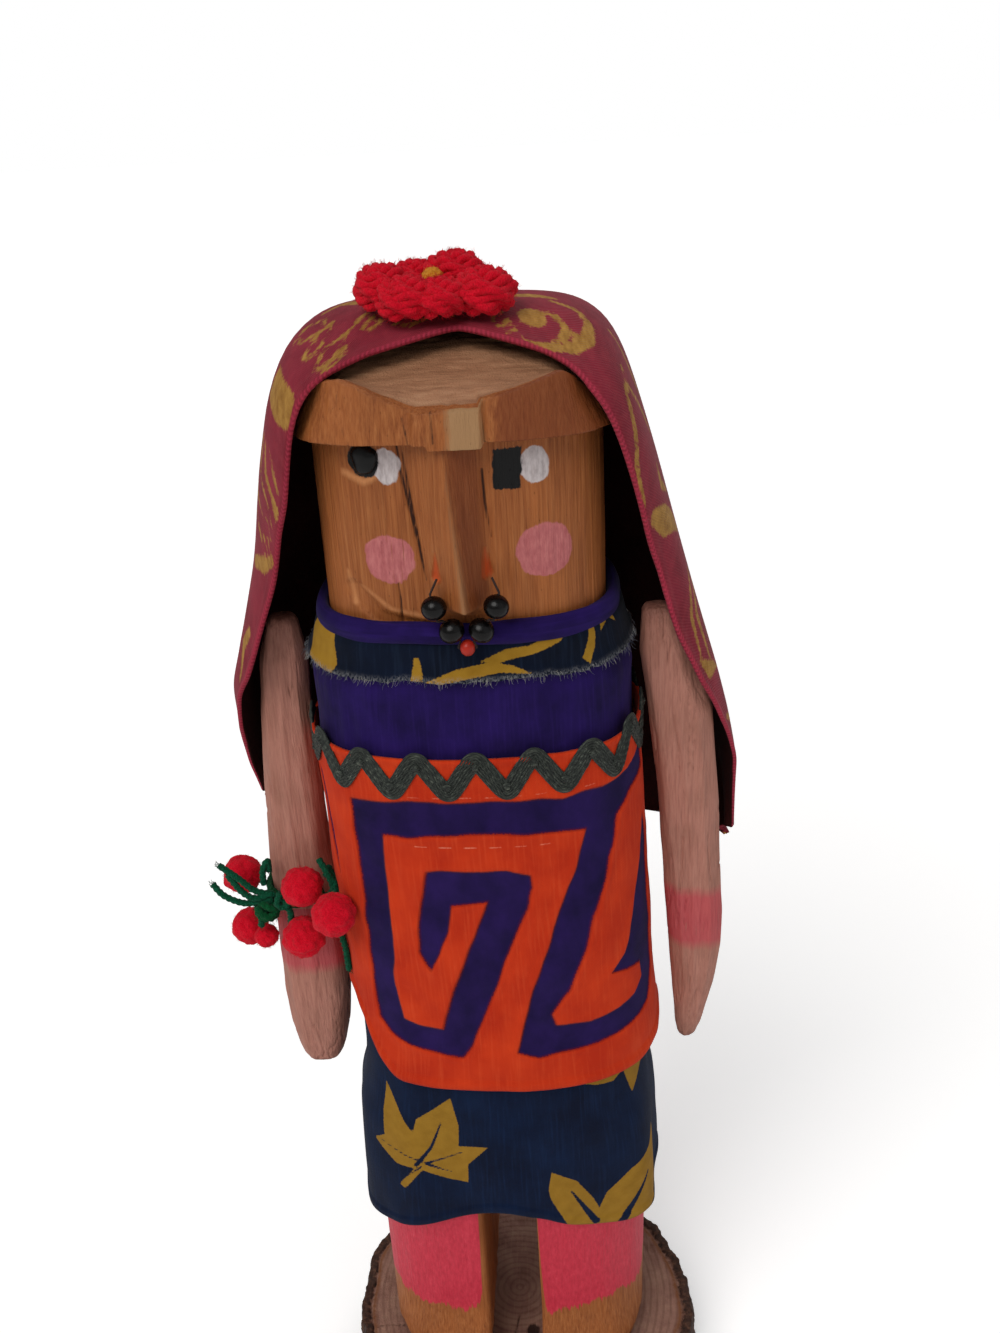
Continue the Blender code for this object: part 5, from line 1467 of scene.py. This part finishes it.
# Yarn
def ball(centre, radius, rows, columns, knit, seed):
    """A yarn ball: a sphere pushed out by rows of knitted loops and soft lumps."""
    lift = np.linspace(-0.5, 0.5, rows + 2)[1:-1, None] * np.pi
    turn = full_turn(columns)[None]
    way = np.stack(np.broadcast_arrays(np.cos(lift) * np.cos(turn), np.cos(lift) * np.sin(turn),
                                       np.sin(lift)), axis=-1)
    loops = np.abs(np.sin(turn * 5 + 2.2 * lift)) * np.abs(np.sin(lift * 4.5 + 0.8 * np.sin(5 * turn)))
    rough = lumps(way * radius + np.asarray(centre), 1.5, seed)
    reach = radius * (0.92 + knit * loops * np.cos(lift) + 0.07 * rough)
    return np.asarray(centre) + reach[..., None] * way, way


def fuzz(centre, radius, count, length, thick, seed):
    """Short fibres standing off a ball in all directions."""
    random = np.random.default_rng(seed)
    way = unit(random.normal(size=(count, 3)))
    roots = np.asarray(centre) + 0.93 * radius * way
    lean = unit(way + 0.8 * random.normal(size=(count, 3)))
    tips = roots + lean * random.uniform(0.4, 1.0, (count, 1)) * length
    return hairs(roots, tips, thick, 0.25, seed + 1)


def cad_ball(node):
    """Middle and radius of a round solid."""
    low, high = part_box(node)
    low, high = np.array(low) / MM, np.array(high) / MM
    return 0.5 * (low + high), 0.25 * (high - low)[:2].sum()


PETALS = (
    ((-15.2, -1.8, 316.4), (4.8, 5.4, 3.8), 0.2),
    ((-9.8, -7.0, 314.6), (5.4, 4.6, 3.6), 1.4),
    ((-3.2, -7.4, 314.6), (4.6, 4.4, 3.1), 2.6),
    ((5.4, -5.0, 315.2), (5.8, 5.4, 3.7), 3.7),
    ((-0.8, 3.6, 317.6), (5.6, 4.6, 4.0), 4.4),
    ((-9.4, 5.6, 316.4), (5.4, 4.8, 3.2), 5.2),
    ((-4.6, -1.4, 314.2), (5.0, 4.6, 2.4), 0.9),
)


def yarn_petal(centre, size, start, seed):
    """A looped petal: yarn wound in rounds from low on a cushion up to its crown. Angle runs seven
    times round while the height angle rises from -55 to 85 degrees, pushed in and out five times
    a round like crochet stitches."""
    part = np.linspace(0.0, 1.0, 330)
    lift, turn = np.radians(-55.0 + 140.0 * part), start + 2.0 * np.pi * 7.0 * part
    way = np.stack([np.cos(lift) * np.cos(turn), np.cos(lift) * np.sin(turn), np.sin(lift)], axis=-1)
    loops = 1.0 + 0.09 * np.sin(5.3 * turn) * np.cos(lift) + 0.10 * lumps(way * 6.0, 4.0, seed)
    path = np.asarray(centre) + way * np.asarray(size) * loops[:, None]
    path[:, 2] += 0.45 * np.cos(5.3 * turn)
    coil = tube(path, 1.05, 9, way, plies=3, twist=2.0, depth=0.22)
    grid, _ = ball(centre, 1.0, 22, 34, 0.0, seed + 1)
    core = np.asarray(centre) + (grid - np.asarray(centre)) * np.asarray(size) * 0.95
    random = np.random.default_rng(seed + 2)
    pick = random.integers(0, 330, 700)
    away = unit(way[pick] + 0.7 * random.normal(size=(700, 3)))
    roots = path[pick] + 0.8 * away
    wisps = hairs(roots, roots + away * random.uniform(0.4, 1.2, (700, 1)), 0.05, 0.35, seed + 3)
    closed = [capped(rings) for rings in (coil, core)]
    return [*closed, wisps]


def make_flower(red, yellow):
    """Crochet flower: puffed petals wound of yarn, one raised behind, round a small yellow centre."""
    patches = []
    for number, (centre, size, start) in enumerate(PETALS):
        patches += yarn_petal(centre, size, start, 161 + 5 * number)
    piece("crochet_flower", patches, red, ["flower_petals"])
    centre, radius = cad_ball("flower_centre")
    grid, _ = ball(centre, radius, 40, 60, 0.12, 210)
    parts = [capped(grid), fuzz(centre, radius, 160, 0.7, 0.035, 211)]
    piece("flower_button", parts, yellow, ["flower_centre"])


def make_bracelet(red, green, teal):
    """Twisted green yarn round the wrist, knotted, with tails and six red yarn balls."""
    height, mid_x, mid_y, half_x, half_y = arm_rings("arm_right")
    low, high = (np.array(corner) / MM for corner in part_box("bracelet_yarn"))
    level = 0.5 * (low[2] + high[2])
    turn = np.radians(np.linspace(50.0, 310.0, 200))
    size_x, size_y = np.interp(level, height, half_x), np.interp(level, height, half_y)
    middle = np.array((np.interp(level, height, mid_x), np.interp(level, height, mid_y)))
    strands = []
    for number, lift in enumerate((0.0, 1.5, -1.3)):
        reach = 1.15 + 0.25 * np.sin(3 * turn + number)
        path = np.stack([middle[0] + (size_x + reach) * np.cos(turn), middle[1]
                         + (size_y + reach) * np.sin(turn),
                         level + lift + 0.7 * np.sin(turn + number) + 0.4 * np.sin(3 * turn + 2 * number)],
                         axis=-1)
        coil = tube(path, 0.85, 10, outward(path - (middle[0], middle[1], 0.0)), plies=2, twist=1.9,
                    depth=0.3)
        strands.append(capped(coil))
    piece("bracelet_ring", strands, green, ["bracelet_yarn"])
    centre, radius = cad_ball("yarn_knot")
    knot = []
    for number in range(3):
        t = full_turn(90)
        base = np.stack([np.cos(t), np.sin(t), 0.35 * np.sin(2 * t + number)], axis=-1) * 0.62 * radius
        lean = Matrix.Rotation(0.9 + 1.1 * number, 3, "X") @ Matrix.Rotation(0.7 * number, 3, "Z")
        path = base @ np.array(lean).T + centre
        coil = tube(path, 1.0, 10, path - centre, closed=True, plies=2, twist=2.4, depth=0.3)
        knot.append(joined_ring(patch(coil, around=True), None, 90, 10))
    knot.append(fuzz(centre, radius, 260, 1.3, 0.035, 190))
    piece("knotted_yarn", knot, green, ["yarn_knot"])
    tails = (
        ((-54, -11, 174), (-58.9, -12, 175.6), (-61.8, -12, 179.3), (-67.0, -11, 182.9)),
        ((-54.5, -11.5, 173), (-61.5, -12.2, 171.8), (-66.9, -12, 174.4), (-69.3, -11, 177.4)),
        ((-54.5, -11, 174.5), (-59, -12.5, 173.5), (-62, -12.5, 176.0), (-65.0, -11.5, 180.4)),
        ((-55, -11.5, 173), (-57.6, -12.4, 168.7), (-58.5, -11.8, 165.2)),
        ((-56.9, -9.5, 176), (-57.0, -9, 180), (-55.2, -8.5, 183), (-55.6, -8, 179)),
        ((-52, -12.5, 174), (-50, -13.2, 170), (-50.6, -12.8, 166.5)),
        ((-40.5, -8.0, 180), (-38.2, -12.2, 179), (-36.9, -13.4, 175), (-38.4, -12.8, 170)),
        ((-39.4, -11.0, 177), (-37.0, -13.2, 172), (-37.8, -13.0, 168)),
        ((-39.0, -11.6, 165), (-37.6, -12.6, 159), (-37.4, -12.8, 152)),
        ((-42, -10.5, 184), (-39.6, -12.8, 181), (-38.2, -13.4, 177), (-40.4, -13, 175)),
        ((-40.6, -12.0, 181), (-37.6, -13.4, 178.5), (-38.8, -13.4, 174.6), (-37.6, -13.2, 171)),
        ((-52, -13.0, 176), (-53.4, -13.8, 173), (-51.4, -13.6, 171.5), (-49.6, -13.4, 174)),
    )
    strands = []
    for number, stops in enumerate(tails):
        path = smoothed(along_stops(np.array(stops, float), 40), 30)
        coil = tube(path, 0.9, 9, np.tile((0.1, -1.0, 0.3), (40, 1)), plies=2, twist=2.4, depth=0.3)
        strands.append(capped(coil))
        random = np.random.default_rng(200 + number)
        roots = np.repeat(path[-1:], 14, axis=0) + 0.3 * random.normal(size=(14, 3))
        way = unit(path[-1] - path[-6])
        strands.append(hairs(roots, roots + way * random.uniform(0.3, 1.0, (14, 1))
                             + 0.25 * random.normal(size=(14, 3)), 0.10, 0.1, 210 + number))
    piece("bracelet_tails", strands, teal)
    for number in range(1, 7):
        centre, radius = cad_ball(f"pompom_{number}")
        grid, _ = ball(centre, 1.13 * radius, 54, 84, 0.06, 220 + number)
        parts = [capped(grid), fuzz(centre, 1.13 * radius, 420, 0.8, 0.04, 230 + number)]
        piece(f"yarn_ball_{number}", parts, red, [f"pompom_{number}"])


# Beads
def make_beads():
    """Bored glossy beads turned round the thread, and the thread through them."""
    front, low = -FACE_HALF_DEPTH - BEAD_FORWARD, SLICE_TOP + NOSE_TIP_UP + 0.8
    step = 2.0 * BEAD_RADIUS + 0.7
    fall = np.sqrt(step ** 2 - (2.35 * BEAD_RADIUS - 0.5 * step) ** 2)
    tip = 0.86 * (BEAD_RADIUS + TIP_RADIUS)
    left = [(-2.35 * BEAD_RADIUS, front, low), (-0.5 * step, front, low - fall)]
    places = [*left, (0.0, front, low - fall - tip), *[(-x, y, z) for x, y, z in left[::-1]]]
    nostril = (-0.62 * 9.0, -FACE_HALF_DEPTH - 0.42 * NOSE_HEIGHT - 0.28, SLICE_TOP + NOSE_TIP_UP + 6.2)
    stops = np.array([nostril, *places, (-nostril[0], nostril[1], nostril[2])])
    dark = glass_finish("dark_bead", (9, 7, 7), (3, 2, 2), 0.2)
    red = glass_finish("red_bead", (196, 50, 32), (140, 24, 18), 0.3)
    route = [stops[0]]
    for number in range(5):
        radius = TIP_RADIUS if number == 2 else BEAD_RADIUS
        way = unit(stops[number + 2] - stops[number])
        rim = np.arcsin(BEAD_BORE / radius)
        angle = np.linspace(0.5 * np.pi - rim, -0.5 * np.pi + rim, 30)
        out = np.concatenate([radius * np.cos(angle), np.full(6, BEAD_BORE)])
        along = np.concatenate([radius * 0.93 * np.sin(angle),
                                np.linspace(-0.93, 0.93, 8)[1:-1] * radius * np.cos(rim)])
        side = unit(np.cross(way, (0.0, 1.0, 0.2)))
        third = np.cross(way, side)
        turn = full_turn(48)[None, :, None]
        wobble = 1.0 + 0.03 * np.sin(2 * turn + number)
        grid = (stops[number + 1] + along[:, None, None] * way
                + out[:, None, None] * wobble * (np.cos(turn) * side + np.sin(turn) * third))
        part = joined_ring(patch(grid, around=True), None, len(out), 48)
        piece(f"bead_{number + 1}", [part], red if number == 2 else dark,
              [f"nose_bead_{number + 1}"])
        route += [stops[number + 1] - way * (radius + 0.2), stops[number + 1] + way * (radius + 0.2)]
    route = np.array([*route, stops[-1]])
    path = along_stops(route, 160)
    made = Finish("thread", Roughness=0.8)
    fibre = made.grain((0.15, 0.15, 0.4), 3.0)
    made = made.done(made.ramp(fibre, (0.3, (14, 8, 8)), (0.7, (52, 26, 20))))
    coil = tube(path, THREAD_RADIUS, 8, np.tile((0.1, -1.0, 0.1), (160, 1)), plies=2, twist=6.0, depth=0.25)
    piece("strung_thread", [capped(coil)], made, ["nose_thread"])


def make_eye():
    """The left eye's black paint stands up in a thick glossy drop."""
    turn = full_turn(60)[None]
    part = np.linspace(1.0, 0.05, 22)[:, None]
    reach = part * (1 + 0.06 * np.sin(3 * turn + 1) + 0.04 * np.sin(5 * turn))
    x = -19.0 + 3.0 * reach * np.cos(turn)
    z = 286.5 + 3.4 * reach * np.sin(turn)
    depth = squircle_front(x)
    y = -depth - 1.5 * np.sqrt(np.clip(1 - part ** 2, 0, 1)) + 0.6 * fade(part, 0.8, 1.0)
    grid = np.stack(np.broadcast_arrays(x, y, z), axis=-1)
    back = grid[:1].copy()
    back[..., 1] += 0.8
    grid = np.vstack([back, grid])
    piece("eye_drop", [capped(grid)], glass_finish("eye_paint", (5, 5, 6), (2, 2, 2), 0.3))


def squircle_front(x):
    """How far forward the face's plain front is at a sideways place."""
    inner = np.clip(1 - np.abs((x - HEAD_SWAY) / FACE_HALF_WIDTH) ** FACE_POWER, 0.01, 1)
    return FACE_HALF_DEPTH * inner ** (1 / FACE_POWER)


YARNS = (
    ("red_yarn", (232, 14, 42), (170, 4, 24), (244, 44, 66)),
    ("yellow_yarn", (225, 150, 40), (180, 100, 20), (245, 190, 90)),
    ("green_yarn", (6, 84, 44), (2, 42, 22), (30, 120, 70)),
    ("teal_yarn", (8, 78, 50), (2, 40, 26), (36, 140, 106)),
)


def main():
    make_camera()
    make_light()
    make_floor()
    make_slice()
    make_head()
    make_eye()
    make_arms()
    make_skirt()
    make_mola()
    indigo = make_yoke()
    make_collar(indigo)
    make_rickrack()
    make_scarf()
    red, yellow, green, teal = [yarn_finish(*yarn) for yarn in YARNS]
    make_flower(red, yellow)
    make_bracelet(red, green, teal)
    make_beads()


main()
